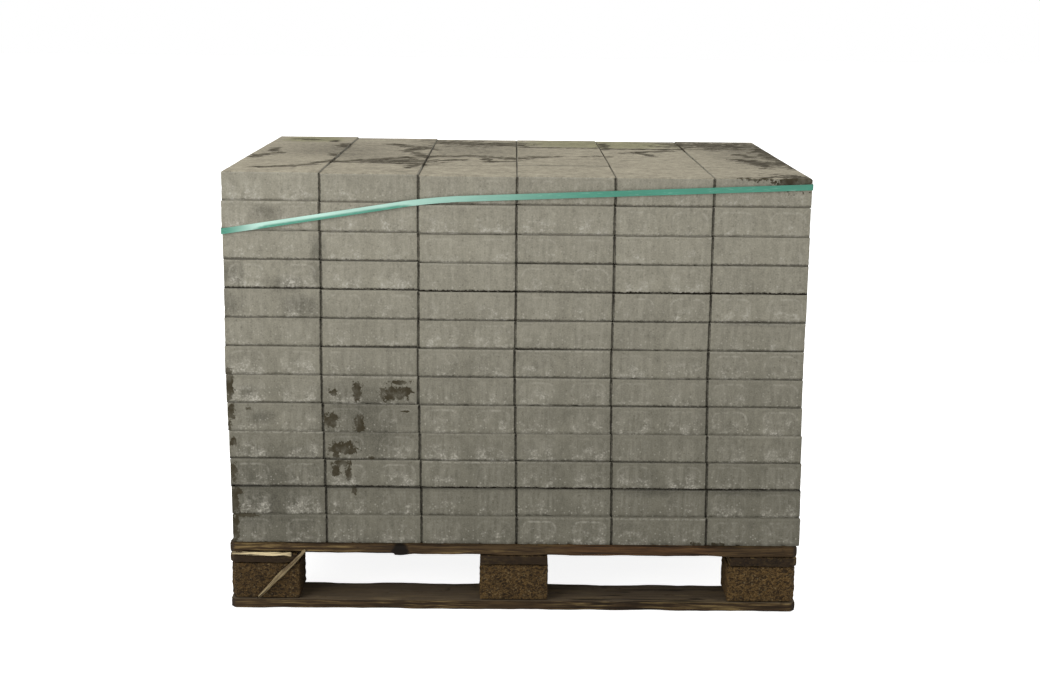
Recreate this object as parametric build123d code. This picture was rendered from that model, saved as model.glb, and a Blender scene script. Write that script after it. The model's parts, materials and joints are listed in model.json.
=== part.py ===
from build123d import *
import os
import random

# Pallet of square concrete pavers: thirteen courses on a four-way wooden block pallet, held by one strap.
# X runs along the pallet's long side, Y from the front to the back, and Z up.
# The origin is on the floor, under the middle of the pallet. Lengths are in millimetres.

# Pavers
ROWS = 4
PAVER_SIDE = 197.5
PAVER_THICKNESS = 60.0
PAVER_JOINT = 2.5
PAVER_ARRIS = 1.5

# How far the stack lies behind the middle of the pallet, and a course or a single paver off the grid
STACK_SETBACK = 14.0
COURSE_SLIP_X = 6.0
COURSE_SLIP_Y = 4.0
COURSE_FAN = 2.5
PAVER_WANDER = 0.4
THICKNESS_WANDER = 0.2
COLUMN_SPREAD = 0.4
WANDER_SEED = 20

# Share of the spread by which the pavers of each column are thicker, from the left
column_shares = [1.0, 0.5, 0.0, 0.15, -0.1, 0.1]

# Share of the slip to the right, of the slip to the back, and of the fan, for each course from the bottom up
course_shares = [
    (0.85, -1.00, 0.0),
    (0.70, 0.60, 0.5),
    (0.45, -0.10, 0.2),
    (0.18, 0.00, -1.0),
    (-0.08, 0.10, 0.3),
    (-0.33, 0.00, 0.0),
    (-0.44, -0.10, -0.2),
    (-0.30, 0.10, 0.1),
    (-0.17, 0.00, 1.0),
    (-0.17, 0.20, 0.2),
    (-0.20, -0.10, -0.3),
    (-0.35, -0.50, 0.1),
    (-0.20, 0.20, -0.2),
]

# Pallet
PALLET_LENGTH = 1200.0
PALLET_WIDTH = 800.0
WIDE_BOARD = 145.0
NARROW_BOARD = 100.0
DECK_THICKNESS = 22.0
CROSS_THICKNESS = 22.0
BOTTOM_THICKNESS = 22.0
BLOCK_LENGTH = 145.0
BLOCK_HEIGHT = 78.0
BLOCK_SETBACK = 3.0
CORNER_BEVEL = 10.0

# Split along the lower front arris of the front deck board, measured from the pallet's left end
SPLIT_START = 30.0
SPLIT_LENGTH = 317.0
SPLIT_HEIGHT = 5.0
SPLIT_DEPTH = 10.0

# Splinter that still lies along the split
LYING_START = 7.0
LYING_LENGTH = 124.0
LYING_ROOT = 4.0
LYING_TIP = 7.0
LYING_DROOP = 4.0
LYING_THICKNESS = 4.0

# Splinter that hangs from the split across the front left block
HANGING_GAP = 29.0
HANGING_RUN = 98.0
HANGING_GRIP = 3.0
HANGING_FOOT = 6.0
HANGING_TIP = 2.0
HANGING_WIDTH = 6.5
HANGING_THICKNESS = 4.0
HANGING_WIDEST_SHARE = 0.45

# Strap
STRAP_WIDTH = 12.0
STRAP_THICKNESS = 0.8
STRAP_CLEARANCE = 0.3
STRAP_BEND_RADIUS = 1400.0
STRAP_LAP = 60.0
STRAPPED_COURSES = 3

# Depth of the strap below the top of the stack, in paver thicknesses, and where its front run bends
FRONT_LEFT_SHARE = 1.97
FRONT_BEND_SHARE = 0.82
FRONT_RIGHT_SHARE = 0.28
BACK_RIGHT_SHARE = 0.45
BACK_LEFT_SHARE = 0.90
BEND_PLACE_SHARE = -0.29

# Levels, edges and places that the sizes above give
COURSES = len(course_shares)
COLUMNS = len(column_shares)
BOTTOM_TOP = BOTTOM_THICKNESS
BLOCK_TOP = BOTTOM_TOP + BLOCK_HEIGHT
CROSS_TOP = BLOCK_TOP + CROSS_THICKNESS
DECK_TOP = CROSS_TOP + DECK_THICKNESS
STACK_TOP = DECK_TOP + COURSES * PAVER_THICKNESS
PAVER_PITCH = PAVER_SIDE + PAVER_JOINT
CROSS_BOARD = BLOCK_LENGTH
HANGING_START = LYING_START + LYING_LENGTH + HANGING_GAP
LEFT_END = -PALLET_LENGTH / 2
FRONT_FACE = -PALLET_WIDTH / 2

SIDES = {"left": -1, "middle": 0, "right": 1}
DEPTHS = {"front": -1, "middle": 0, "back": 1}


def bed_level(x, y, below):
    """Level at which a paver comes to rest: the highest of the tops that reach under it."""
    reached = [top for bed_x, bed_y, top in below if max(abs(bed_x - x), abs(bed_y - y)) < PAVER_SIDE]
    return max(reached)


def stacked_pavers():
    """Middle, level and thickness of every paver, in a list for each course from the bottom up."""
    wander = random.Random(WANDER_SEED)
    courses = []
    for slip_share, depth_share, fan_share in course_shares:
        pavers = []
        below = [(x, y, level + thickness) for x, y, level, thickness in courses[-1]] if courses else []
        for spot in range(COLUMNS * ROWS):
            column, row = divmod(spot, ROWS)
            across = column - (COLUMNS - 1) / 2
            into = row - (ROWS - 1) / 2
            slip = COURSE_SLIP_X * slip_share
            shove = COURSE_SLIP_Y * depth_share + COURSE_FAN * fan_share * across / COLUMNS
            x = across * PAVER_PITCH + slip + PAVER_WANDER * wander.uniform(-1, 1)
            y = into * PAVER_PITCH + STACK_SETBACK + shove + PAVER_WANDER * wander.uniform(-1, 1)
            thickness = PAVER_THICKNESS + COLUMN_SPREAD * column_shares[column]
            thickness += THICKNESS_WANDER * wander.uniform(-1, 1)
            level = bed_level(x, y, below) if below else DECK_TOP
            pavers.append((x, y, level, thickness))
        courses.append(pavers)
    return courses


def paver(thickness):
    """One paver on its bed face, with its upper and upright arrises eased."""
    block = Box(PAVER_SIDE, PAVER_SIDE, thickness, align=(Align.CENTER, Align.CENTER, Align.MIN))
    eased = block.faces().sort_by(Axis.Z)[-1].edges() + block.edges().filter_by(Axis.Z)
    return chamfer(eased, PAVER_ARRIS)


def paver_course(pavers):
    """The separate pavers of one course."""
    return Compound(children=[Pos(x, y, level) * paver(thickness) for x, y, level, thickness in pavers])


def timber(length, width, height, place, bevelled=()):
    """A sawn piece that stands on its place, with the named upright corners bevelled."""
    piece = Box(length, width, height, align=(Align.CENTER, Align.CENTER, Align.MIN))
    corners = []
    for edge in piece.edges().filter_by(Axis.Z):
        middle = edge.center()
        if (middle.X > 0, middle.Y > 0) in bevelled:
            corners.append(edge)
    if corners:
        piece = chamfer(corners, CORNER_BEVEL)
    return Pos(*place) * piece


def outer_corners(side, depth):
    """Upright corners of a piece that lie on the pallet's own corners."""
    xs = [side > 0] if side else []
    ys = [depth > 0] if depth else []
    return [(x, y) for x in xs for y in ys]


def deck_split():
    """Wedge that is missing along the lower front arris of the front deck board."""
    section = Polyline(
        (FRONT_FACE, CROSS_TOP),
        (FRONT_FACE + SPLIT_DEPTH, CROSS_TOP),
        (FRONT_FACE, CROSS_TOP + SPLIT_HEIGHT),
        close=True,
    )
    wedge = extrude(Plane.YZ * make_face(section), SPLIT_LENGTH)
    return Pos(LEFT_END + SPLIT_START, 0, 0) * wedge


def deck_boards():
    """Five boards along the pallet, wide at the edges and in the middle."""
    widths = {
        "front": WIDE_BOARD,
        "front_inner": NARROW_BOARD,
        "middle": WIDE_BOARD,
        "back_inner": NARROW_BOARD,
        "back": WIDE_BOARD,
    }
    gap = (PALLET_WIDTH - sum(widths.values())) / (len(widths) - 1)
    boards = {}
    edge = FRONT_FACE
    for name, width in widths.items():
        depth = DEPTHS.get(name, 0)
        bevelled = outer_corners(-1, depth) + outer_corners(1, depth)
        place = (0, edge + width / 2, CROSS_TOP)
        boards["deck_board_" + name] = timber(PALLET_LENGTH, width, DECK_THICKNESS, place, bevelled)
        edge += width + gap
    boards["deck_board_front"] -= deck_split()
    return boards


def cross_boards():
    """Three boards across the pallet, between the blocks and the deck."""
    boards = {}
    for name, side in SIDES.items():
        bevelled = outer_corners(side, -1) + outer_corners(side, 1)
        place = (side * (PALLET_LENGTH - CROSS_BOARD) / 2, 0, BLOCK_TOP)
        boards["cross_board_" + name] = timber(CROSS_BOARD, PALLET_WIDTH, CROSS_THICKNESS, place, bevelled)
    return boards


def bottom_width(depth):
    """Width of a bottom board, and of the blocks that stand on it."""
    return NARROW_BOARD if depth else WIDE_BOARD


def blocks():
    """Nine blocks in three rows, set back a little from the ends of the boards."""
    pieces = {}
    for depth_name, depth in DEPTHS.items():
        width = bottom_width(depth)
        y = depth * ((PALLET_WIDTH - width) / 2 - BLOCK_SETBACK)
        for side_name, side in SIDES.items():
            x = side * ((PALLET_LENGTH - BLOCK_LENGTH) / 2 - BLOCK_SETBACK)
            place = (x, y, BOTTOM_TOP)
            name = "block_" + depth_name + "_" + side_name
            bevelled = outer_corners(side, depth)
            pieces[name] = timber(BLOCK_LENGTH, width, BLOCK_HEIGHT, place, bevelled)
    return pieces


def bottom_boards():
    """Three boards along the pallet that stand on the floor."""
    boards = {}
    for name, depth in DEPTHS.items():
        width = bottom_width(depth)
        place = (0, depth * (PALLET_WIDTH - width) / 2, 0)
        bevelled = outer_corners(-1, depth) + outer_corners(1, depth)
        boards["bottom_board_" + name] = timber(PALLET_LENGTH, width, BOTTOM_THICKNESS, place, bevelled)
    return boards


def splinter(outline, thickness):
    """A sliver of wood against the pallet's front, from its outline seen from the front."""
    face = make_face(Polyline(*outline, close=True))
    return Pos(0, FRONT_FACE, 0) * extrude(Plane.XZ * face, thickness)


def splinter_lying():
    """Sliver along the split, held at its left end and drooping at its right."""
    left = LEFT_END + LYING_START
    right = left + LYING_LENGTH
    root = CROSS_TOP + LYING_ROOT
    tip = CROSS_TOP + LYING_TIP - LYING_DROOP
    outline = [(left, CROSS_TOP), (right, tip - LYING_TIP), (right, tip), (left, root)]
    return splinter(outline, LYING_THICKNESS)


def splinter_hanging():
    """Sliver that hangs from the split down to the left, widest near its middle."""
    top = Vector(LEFT_END + HANGING_START, CROSS_TOP + SPLIT_HEIGHT + HANGING_GRIP)
    foot = Vector(top.X - HANGING_RUN, BOTTOM_TOP + HANGING_FOOT)
    waist = top + (foot - top) * HANGING_WIDEST_SHARE
    square = (foot - top).normalized().rotate(Axis.Z, 90)
    half_widths = [(top, HANGING_TIP / 2), (waist, HANGING_WIDTH / 2), (foot, HANGING_TIP / 2)]
    one_side = [middle + square * half for middle, half in half_widths]
    other_side = [middle - square * half for middle, half in reversed(half_widths)]
    outline = [(point.X, point.Y) for point in one_side + other_side]
    return splinter(outline, HANGING_THICKNESS)


def strap_reach(courses):
    """Inner faces of the strap, just clear of the courses that it goes round: left, right, front, back."""
    girthed = sum(courses[-STRAPPED_COURSES:], [])
    out = PAVER_SIDE / 2 + STRAP_CLEARANCE
    xs = [x for x, y, level, thickness in girthed]
    ys = [y for x, y, level, thickness in girthed]
    return min(xs) - out, max(xs) + out, min(ys) - out, max(ys) + out


def strap_band(middle_line):
    """Face of a stretch of strap, of one height all along, from its middle line seen square on."""
    half = STRAP_WIDTH / 2
    low = [(along, up - half) for along, up in middle_line]
    high = [(along, up + half) for along, up in reversed(middle_line)]
    if len(middle_line) > 2:
        low_edge = FilletPolyline(*low, radius=STRAP_BEND_RADIUS)
        high_edge = FilletPolyline(*high, radius=STRAP_BEND_RADIUS)
    else:
        low_edge = Line(*low)
        high_edge = Line(*high)
    ends = [Line(low[-1], high[0]), Line(high[-1], low[0])]
    return make_face(low_edge.edges() + high_edge.edges() + [end.edge() for end in ends])


def strap_corner(x, y, level, turn):
    """Quarter ring of strap round one corner of the stack."""
    inner = PAVER_ARRIS + STRAP_CLEARANCE
    outer = inner + STRAP_THICKNESS
    ring = Circle(outer) - Circle(inner)
    quarter = ring & Rectangle(outer, outer, align=Align.MIN)
    return Pos(x, y, level - STRAP_WIDTH / 2) * Rot(0, 0, turn) * extrude(quarter, STRAP_WIDTH)


def strap(courses):
    """Closed loop of strap that has slipped down at the front left corner."""
    left, right, front, back = strap_reach(courses)
    turn_in = PAVER_ARRIS + STRAP_CLEARANCE
    near_left, near_right = left + turn_in, right - turn_in
    near_front, near_back = front + turn_in, back - turn_in
    front_left = STACK_TOP - FRONT_LEFT_SHARE * PAVER_THICKNESS
    front_bend = STACK_TOP - FRONT_BEND_SHARE * PAVER_THICKNESS
    front_right = STACK_TOP - FRONT_RIGHT_SHARE * PAVER_THICKNESS
    back_right = STACK_TOP - BACK_RIGHT_SHARE * PAVER_THICKNESS
    back_left = STACK_TOP - BACK_LEFT_SHARE * PAVER_THICKNESS
    bend = BEND_PLACE_SHARE * COLUMNS * PAVER_PITCH / 2

    front_run = strap_band([(near_left, front_left), (bend, front_bend), (near_right, front_right)])
    back_run = strap_band([(near_left, back_left), (near_right, back_right)])
    left_run = strap_band([(near_front, front_left), (near_back, back_left)])
    right_run = strap_band([(near_front, front_right), (near_back, back_right)])
    lap_place = Pos((near_left + near_right) / 2, (back_left + back_right) / 2)
    lap_window = lap_place * Rectangle(STRAP_LAP, STACK_TOP)

    band = Pos(0, front, 0) * extrude(Plane.XZ * front_run, STRAP_THICKNESS)
    band += Pos(0, back, 0) * extrude(Plane.XZ * back_run, -STRAP_THICKNESS)
    band += Pos(left, 0, 0) * extrude(Plane.YZ * left_run, -STRAP_THICKNESS)
    band += Pos(right, 0, 0) * extrude(Plane.YZ * right_run, STRAP_THICKNESS)
    band += strap_corner(near_right, near_back, back_right, 0)
    band += strap_corner(near_left, near_back, back_left, 90)
    band += strap_corner(near_left, near_front, front_left, 180)
    band += strap_corner(near_right, near_front, front_right, 270)
    lap = extrude(Plane.XZ * (back_run & lap_window), -STRAP_THICKNESS)
    return band + Pos(0, back + STRAP_THICKNESS, 0) * lap


def all_parts():
    """Every piece of the loaded pallet, by its name."""
    courses = stacked_pavers()
    parts = {}
    parts.update(bottom_boards())
    parts.update(blocks())
    parts.update(cross_boards())
    parts.update(deck_boards())
    parts["splinter_lying"] = splinter_lying()
    parts["splinter_hanging"] = splinter_hanging()
    for number, pavers in enumerate(courses, start=1):
        parts[f"paver_course_{number:02d}"] = paver_course(pavers)
    parts["strap"] = strap(courses)
    return parts


os.makedirs("parts", exist_ok=True)
for name, shape in all_parts().items():
    export_step(shape, f"parts/{name}.step")
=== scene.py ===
import json
import math
import random
from types import SimpleNamespace

import bmesh
import bpy
import numpy as np
from bpy.props import FloatProperty, FloatVectorProperty, PointerProperty
from mathutils import Matrix, Vector

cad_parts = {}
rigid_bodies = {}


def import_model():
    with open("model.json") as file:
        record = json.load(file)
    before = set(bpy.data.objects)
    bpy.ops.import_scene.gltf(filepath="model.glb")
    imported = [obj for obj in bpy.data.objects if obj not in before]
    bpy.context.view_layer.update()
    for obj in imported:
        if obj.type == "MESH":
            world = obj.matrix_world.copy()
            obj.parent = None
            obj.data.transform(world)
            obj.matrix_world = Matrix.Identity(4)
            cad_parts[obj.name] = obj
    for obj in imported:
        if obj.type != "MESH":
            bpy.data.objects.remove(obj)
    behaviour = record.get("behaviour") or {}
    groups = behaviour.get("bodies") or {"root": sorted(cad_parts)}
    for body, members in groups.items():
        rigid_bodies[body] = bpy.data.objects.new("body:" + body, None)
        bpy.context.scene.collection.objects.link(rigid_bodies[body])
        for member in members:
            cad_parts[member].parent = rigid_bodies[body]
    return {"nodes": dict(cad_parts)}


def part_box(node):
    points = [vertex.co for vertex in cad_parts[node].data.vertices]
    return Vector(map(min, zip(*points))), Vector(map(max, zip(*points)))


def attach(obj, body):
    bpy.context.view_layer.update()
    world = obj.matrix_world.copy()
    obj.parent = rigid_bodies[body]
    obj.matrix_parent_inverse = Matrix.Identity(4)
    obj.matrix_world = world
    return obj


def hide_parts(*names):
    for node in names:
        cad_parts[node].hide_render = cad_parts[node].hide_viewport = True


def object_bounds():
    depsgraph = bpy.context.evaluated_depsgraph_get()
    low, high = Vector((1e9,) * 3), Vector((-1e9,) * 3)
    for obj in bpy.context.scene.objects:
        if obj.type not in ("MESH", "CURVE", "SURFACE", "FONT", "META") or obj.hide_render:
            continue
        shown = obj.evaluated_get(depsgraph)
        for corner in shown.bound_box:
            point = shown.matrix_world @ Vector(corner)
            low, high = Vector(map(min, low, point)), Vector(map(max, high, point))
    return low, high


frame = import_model()
CAD_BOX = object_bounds()

bl_info = {
    "name": "Pallet of Concrete Pavers",
    "version": (1, 0, 0),
    "blender": (4, 5, 0),
    "location": "3D View > Sidebar > Paver Pallet",
    "description": "Dresses a strapped pallet of concrete pavers in worn concrete, wet timber and plastic",
    "category": "Object",
}


def pieces_named(*starts):
    """Names of the frame's pieces that begin with one of the words, in order."""
    return sorted(name for name in frame["nodes"] if name.startswith(starts))


# Pieces of the frame by kind
COURSES = pieces_named("paver_course")
LONG_BOARDS = pieces_named("deck_board", "bottom_board")
CROSS_BOARDS = pieces_named("cross_board")
BLOCKS = pieces_named("block")
SPLINTERS = pieces_named("splinter")

# The stack of pavers, counted in pavers
STACK_LOW = Vector(map(min, *(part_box(name)[0] for name in COURSES)))
STACK_HIGH = Vector(map(max, *(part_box(name)[1] for name in COURSES)))
COLUMNS = 6
ROWS = 4
PAVER = Vector((
    (STACK_HIGH.x - STACK_LOW.x) / COLUMNS,
    (STACK_HIGH.y - STACK_LOW.y) / ROWS,
    (STACK_HIGH.z - STACK_LOW.z) / len(COURSES),
))

# Merging distance for meshes from the frame, and the angles up to which faces are one plane or look smooth
MERGE = 1e-5
FLAT_ANGLE = math.radians(1)
SHARP_ANGLE = math.radians(38)

# Least part of a normal along a direction for a face that looks that way squarely, mostly or partly
SQUARELY = 0.99
MOSTLY = 0.9
PARTLY = 0.2


def screen(red, green, blue):
    """Linear colour of a screen colour given from 0 to 255."""
    return tuple(((part / 255 + 0.055) / 1.055) ** 2.4 for part in (red, green, blue))


def number(name, description, default, **kind):
    """A number that the user can change."""
    return FloatProperty(name=name, description=description, default=default, **kind)


def size(name, description, default):
    """A length in metres that the user can change."""
    return number(name, description, default, unit="LENGTH", subtype="DISTANCE", precision=5)


def tint(name, description, *colour):
    """A colour that the user can change, given as a screen colour."""
    return FloatVectorProperty(
        name=name, description=description, subtype="COLOR", size=3, min=0, max=1, default=screen(*colour)
    )


class PaverFinish(bpy.types.PropertyGroup):
    """Sizes and colours of the concrete pavers"""

    arris: size("Arris", "Rounding of the upper arrises", 0.0022)
    top_arris: size("Top arris", "Rounding of the upper arrises of the top course", 0.0045)
    upright_arris: size("Upright arris", "Rounding of the upright arrises", 0.0008)
    nib_margin: size("Nib margin", "Distance of a hidden side's nib from the arrises", 0.005)
    column: size("Column", "Width of the mesh columns on an exposed side", 0.004)
    # Up to the joint reach the lower arrises are worn, and darkened by grime and by painted shade of the
    # bed joint
    joint_reach: size("Joint reach", "Height to which the lower arrises are worn and grimy", 0.0058)
    # Upright joints are darkened by their dirt and by painted shade in the gap
    seam_reach: size("Seam reach", "Reach of the dirt from an upright joint's middle", 0.0041)
    chip_reach: size("Chip reach", "Distance from an arris to which chips reach", 0.007)
    grid: size("Grid", "Spacing of the mesh on the top of the stack", 0.0066)
    wave: size("Wave", "Unevenness of the exposed faces", 0.0006)
    crumble: size("Crumble", "Depth to which the lower arrises are worn", 0.0024)
    chip: size("Chip", "Depth of the larger chips in the arrises", 0.005)
    pad_rise: size("Pad rise", "How far the two pads of a side stand proud", 0.0005)
    pad_width: size("Pad width", "Width of a pad", 0.070)
    pad_spread: size("Pad spread", "Distance of a pad's middle from the middle of the side", 0.053)
    pad_top: size("Pad top", "Height of a pad above the bottom of the paver", 0.050)
    pad_round: size("Pad rounding", "Radius of a pad's upper corners", 0.017)
    upper: tint("Upper colour", "Dry concrete near the top of the stack", 143, 139, 125)
    # The lower colour is partly damp concrete and partly painted shade of the lower courses
    lower: tint("Lower colour", "Damp grey concrete near the pallet", 110, 107, 95)
    upturned: tint("Upturned colour", "Dry concrete on top of the stack", 154, 147, 129)
    moss: tint("Moss", "Mossy tops of the back row", 131, 129, 98)
    # Bloom is also the colour of the painted highlights on the upper arrises and the pads' upper rims
    bloom: tint("Bloom", "Pale lime bloom", 184, 180, 168)
    damp: tint("Damp", "Damp stains", 57, 51, 37)
    # Joint dirt: dirt in the joints together with painted shade between the pavers
    joint: tint("Joint dirt", "Dirt in the joints", 26, 22, 16)


class TimberFinish(bpy.types.PropertyGroup):
    """Sizes and colours of the pallet's wood"""

    rounding: size("Rounding", "Rounding of the boards' arrises", 0.0025)
    spacing: size("Spacing", "Spacing of the mesh along the grain", 0.010)
    spacing_across: size("Spacing across", "Spacing of the mesh across the grain", 0.012)
    spacing_up: size("Spacing up", "Spacing of the mesh through a board", 0.0045)
    ripple: size("Ripple", "Unevenness of the boards", 0.0016)
    wear: size("Wear", "Depth to which the arrises are worn", 0.0035)
    wear_reach: size("Wear reach", "Distance from an arris to which boards are worn", 0.010)
    knot_depth: size("Knot depth", "Depth of the hollow at the knot of the front deck board", 0.004)
    chip_spacing: size("Chip spacing", "Spacing of the mesh of the pressed blocks", 0.0052)
    chip_reach: size("Chip reach", "Distance from an arris to which blocks are worn", 0.012)
    chip_rough: size("Chip roughness", "Roughness of the pressed blocks", 0.0028)
    dark: tint("Dark wood", "Wet wood between the streaks", 45, 32, 17)
    brown: tint("Brown wood", "Weathered wood", 75, 58, 36)
    straw: tint("Straw streaks", "Yellowish streaks", 132, 112, 72)
    fresh: tint("Fresh wood", "Orange-brown stretch of the front deck board", 84, 56, 33)
    # Grey wood: weathered grey, made lighter as painted light against the shade under the deck
    grey: tint("Grey wood", "Weathered upper faces", 98, 86, 69)
    # Raw wood is as pale as the lying splinter's highlights, so partly a painted highlight; it also colours
    # the pale specks of the pressed blocks
    raw: tint("Raw wood", "Split wood of the lying splinter", 222, 203, 160)
    dull: tint("Dull raw wood", "Split wood of the hanging splinter", 140, 124, 92)
    chip: tint("Chip", "Ground of the pressed blocks", 87, 66, 35)
    flake: tint("Flake", "Pale flakes of the pressed blocks", 120, 97, 62)
    flake_dark: tint("Dark flake", "Dark flakes of the pressed blocks", 42, 29, 12)


class StrapFinish(bpy.types.PropertyGroup):
    """Sizes and colours of the strap"""

    spacing: size("Spacing", "Spacing of the mesh along the strap", 0.012)
    lean: size("Lean", "How far the lower edge of the slack left stretch stands off", 0.003)
    colour: tint("Strap", "Plastic of the strap", 69, 141, 119)
    # The pale colour is a painted sheen of the sky on the slack stretch's upper part, and also the colour
    # of the scuffs
    pale: tint("Pale strap", "Slack left stretch that faces the sky", 192, 228, 214)


class StudioSettings(bpy.types.PropertyGroup):
    """Floor, light and camera"""

    floor: tint("Floor", "Pale floor", 236, 236, 235)
    glow: number("Floor glow", "White that the camera sees added to the floor", 0.88)
    sky: number("Sky", "Strength of the even light", 0.72)
    key: number("Key", "Power of the soft front light", 74.0, subtype="POWER")
    top: number("Top", "Power of the soft top light", 25.0, subtype="POWER")
    lens: number("Lens", "Focal length of the camera in millimetres", 52.57)
    eye: FloatVectorProperty(
        name="Eye", description="Place of the camera", subtype="TRANSLATION",
        default=(-0.011, -3.442, 1.274),
    )
    aim: FloatVectorProperty(
        name="Aim", description="Pitch, roll and yaw of the camera", subtype="EULER",
        default=[math.radians(angle) for angle in (-10.635, 0.604, -0.335)],
    )
    rise: number("Rise", "Upward shift of the frame as a share of its width", -0.06)


# Selecting and shaping


def only(*pieces):
    """Leaves just these objects selected, with the first one active."""
    bpy.ops.object.select_all(action="DESELECT")
    for piece in pieces:
        piece.select_set(True)
    bpy.context.view_layer.objects.active = pieces[0]


def edit(piece):
    """Opens one object's mesh with all of it selected."""
    only(piece)
    bpy.ops.object.mode_set(mode="EDIT")
    bpy.ops.mesh.select_mode(type="FACE")
    bpy.ops.mesh.select_all(action="SELECT")


def close():
    """Leaves edit mode."""
    bpy.ops.object.mode_set(mode="OBJECT")


def select_faces(piece, wanted):
    """Selects, in edit mode, just the faces whose direction is wanted."""
    bpy.ops.mesh.select_all(action="DESELECT")
    shape = bmesh.from_edit_mesh(piece.data)
    for face in shape.faces:
        if wanted(face.normal):
            face.select_set(True)
    bmesh.update_edit_mesh(piece.data)


def select_edges(piece, wanted):
    """Selects, in edit mode, just the edges whose two ends are wanted."""
    bpy.ops.mesh.select_mode(type="EDGE")
    bpy.ops.mesh.select_all(action="DESELECT")
    shape = bmesh.from_edit_mesh(piece.data)
    for edge in shape.edges:
        if wanted(edge.verts[0].co, edge.verts[1].co):
            edge.select_set(True)
    bmesh.update_edit_mesh(piece.data)


def cut(piece, axis, places, wanted):
    """Cuts the wanted faces square to an axis at each place, in edit mode."""
    normal = Vector((0, 0, 0))
    normal[axis] = 1
    for place in places:
        select_faces(piece, wanted)
        bpy.ops.mesh.bisect(plane_co=normal * place, plane_no=normal, threshold=MERGE)


def spaced(low, high, spacing):
    """Even places between two ends, about one spacing apart, without the ends."""
    count = max(1, round((high - low) / spacing))
    return [low + (high - low) * step / count for step in range(1, count)]


def anywhere(normal):
    """Wants every face."""
    return True


def copy_of_node(node, name):
    """A new object with the merged mesh of a piece of the frame."""
    piece = bpy.data.objects.new(name, frame["nodes"][node].data.copy())
    bpy.context.scene.collection.objects.link(piece)
    piece.data.materials.clear()
    only(piece)
    bpy.ops.mesh.customdata_custom_splitnormals_clear()
    edit(piece)
    bpy.ops.mesh.remove_doubles(threshold=MERGE)
    bpy.ops.mesh.dissolve_limited(angle_limit=FLAT_ANGLE)
    close()
    return piece


def diced_copy(node, name, rounding, spacings, wanted=anywhere):
    """A copy of a piece of the frame with rounded arrises, cut into a grid with a spacing for each axis."""
    low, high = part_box(node)
    piece = copy_of_node(node, name)
    edit(piece)
    if rounding:
        bpy.ops.mesh.bevel(offset=rounding, segments=2, affect="EDGES", clamp_overlap=True)
    for axis, spacing in spacings.items():
        cut(piece, axis, spaced(low[axis], high[axis], spacing), wanted)
    close()
    return piece


def copy_of(master, name):
    """A copy of an object with its own mesh."""
    piece = master.copy()
    piece.data = master.data.copy()
    piece.name = name
    bpy.context.scene.collection.objects.link(piece)
    return piece


def joined(pieces, name):
    """One object made of several, with their places worked into its mesh."""
    only(*pieces)
    bpy.ops.object.join()
    whole = bpy.context.object
    whole.name = name
    bpy.ops.object.transform_apply(location=True, rotation=True, scale=True)
    return whole


def discard(*pieces):
    """Removes objects and their meshes."""
    for piece in pieces:
        mesh = piece.data
        bpy.data.objects.remove(piece)
        if isinstance(mesh, bpy.types.Mesh):
            bpy.data.meshes.remove(mesh)


def points(piece):
    """Places of all points of a mesh, one row each."""
    places = np.empty(len(piece.data.vertices) * 3, np.float32)
    piece.data.vertices.foreach_get("co", places)
    return places.reshape(-1, 3)


def weigh(piece, name, weights):
    """Gives a mesh a group of points with weights from 0 to 1."""
    group = piece.vertex_groups.new(name=name)
    for index in np.flatnonzero(weights > 0):
        group.add([int(index)], float(weights[index]), "REPLACE")


def store(piece, name, values):
    """Keeps one number for each point of a mesh, for its material to read."""
    attribute = piece.data.attributes.new(name, "FLOAT", "POINT")
    attribute.data.foreach_set("value", np.asarray(values, np.float32))


def cloud(name, spread, depth=2, contrast=1.0, brightness=1.0):
    """A soft noise for moving a surface, made once and found again by its name."""
    texture = bpy.data.textures.get(name) or bpy.data.textures.new(name, "CLOUDS")
    texture.noise_scale = spread
    texture.noise_depth = depth
    texture.contrast = contrast
    texture.intensity = brightness
    texture.use_clamp = True
    return texture


def displace(piece, strength, texture=None, group="", level=0.0, direction="NORMAL", space=None):
    """Moves a surface by a noise, or by the weights of a group alone, and applies it."""
    step = piece.modifiers.new("displace", "DISPLACE")
    step.strength = strength
    step.mid_level = level
    step.direction = direction
    step.vertex_group = group
    if texture:
        step.texture = texture
        step.texture_coords = "OBJECT" if space else "LOCAL"
        step.texture_coords_object = space
    only(piece)
    bpy.ops.object.modifier_apply(modifier=step.name)


def keep_within(piece, low, high, margin):
    """Brings the points of a mesh that left a box back to it, but for a margin at its sides."""
    spare = np.array((margin, margin, 0))
    places = np.clip(points(piece), np.array(low) - spare, np.array(high) + spare)
    piece.data.vertices.foreach_set("co", places.astype(np.float32).ravel())
    piece.data.update()


def stretched_space(stretch):
    """An empty whose own scale draws a noise out along the grain."""
    empty = bpy.data.objects.new("grain_space", None)
    empty.scale = stretch
    bpy.context.scene.collection.objects.link(empty)
    bpy.context.view_layer.update()
    return empty


def near_arris(places, low, high, reach):
    """How near each point of a box-like piece is to one of its arrises, from 0 to 1."""
    gaps = np.minimum(np.abs(places - np.array(low)), np.abs(places - np.array(high)))
    return np.clip(1 - np.sort(gaps, axis=1)[:, 1] / reach, 0, 1)


def complete(piece, material, slot, *nodes):
    """Gives a piece its material and shading, and sets it in the frame in place of its nodes."""
    piece.vertex_groups.clear()
    piece.data.materials.clear()
    piece.data.materials.append(material)
    only(piece)
    bpy.ops.object.shade_smooth_by_angle(angle=SHARP_ANGLE)
    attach(piece, "root")
    if nodes:
        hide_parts(*nodes)


# Node trees


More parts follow.
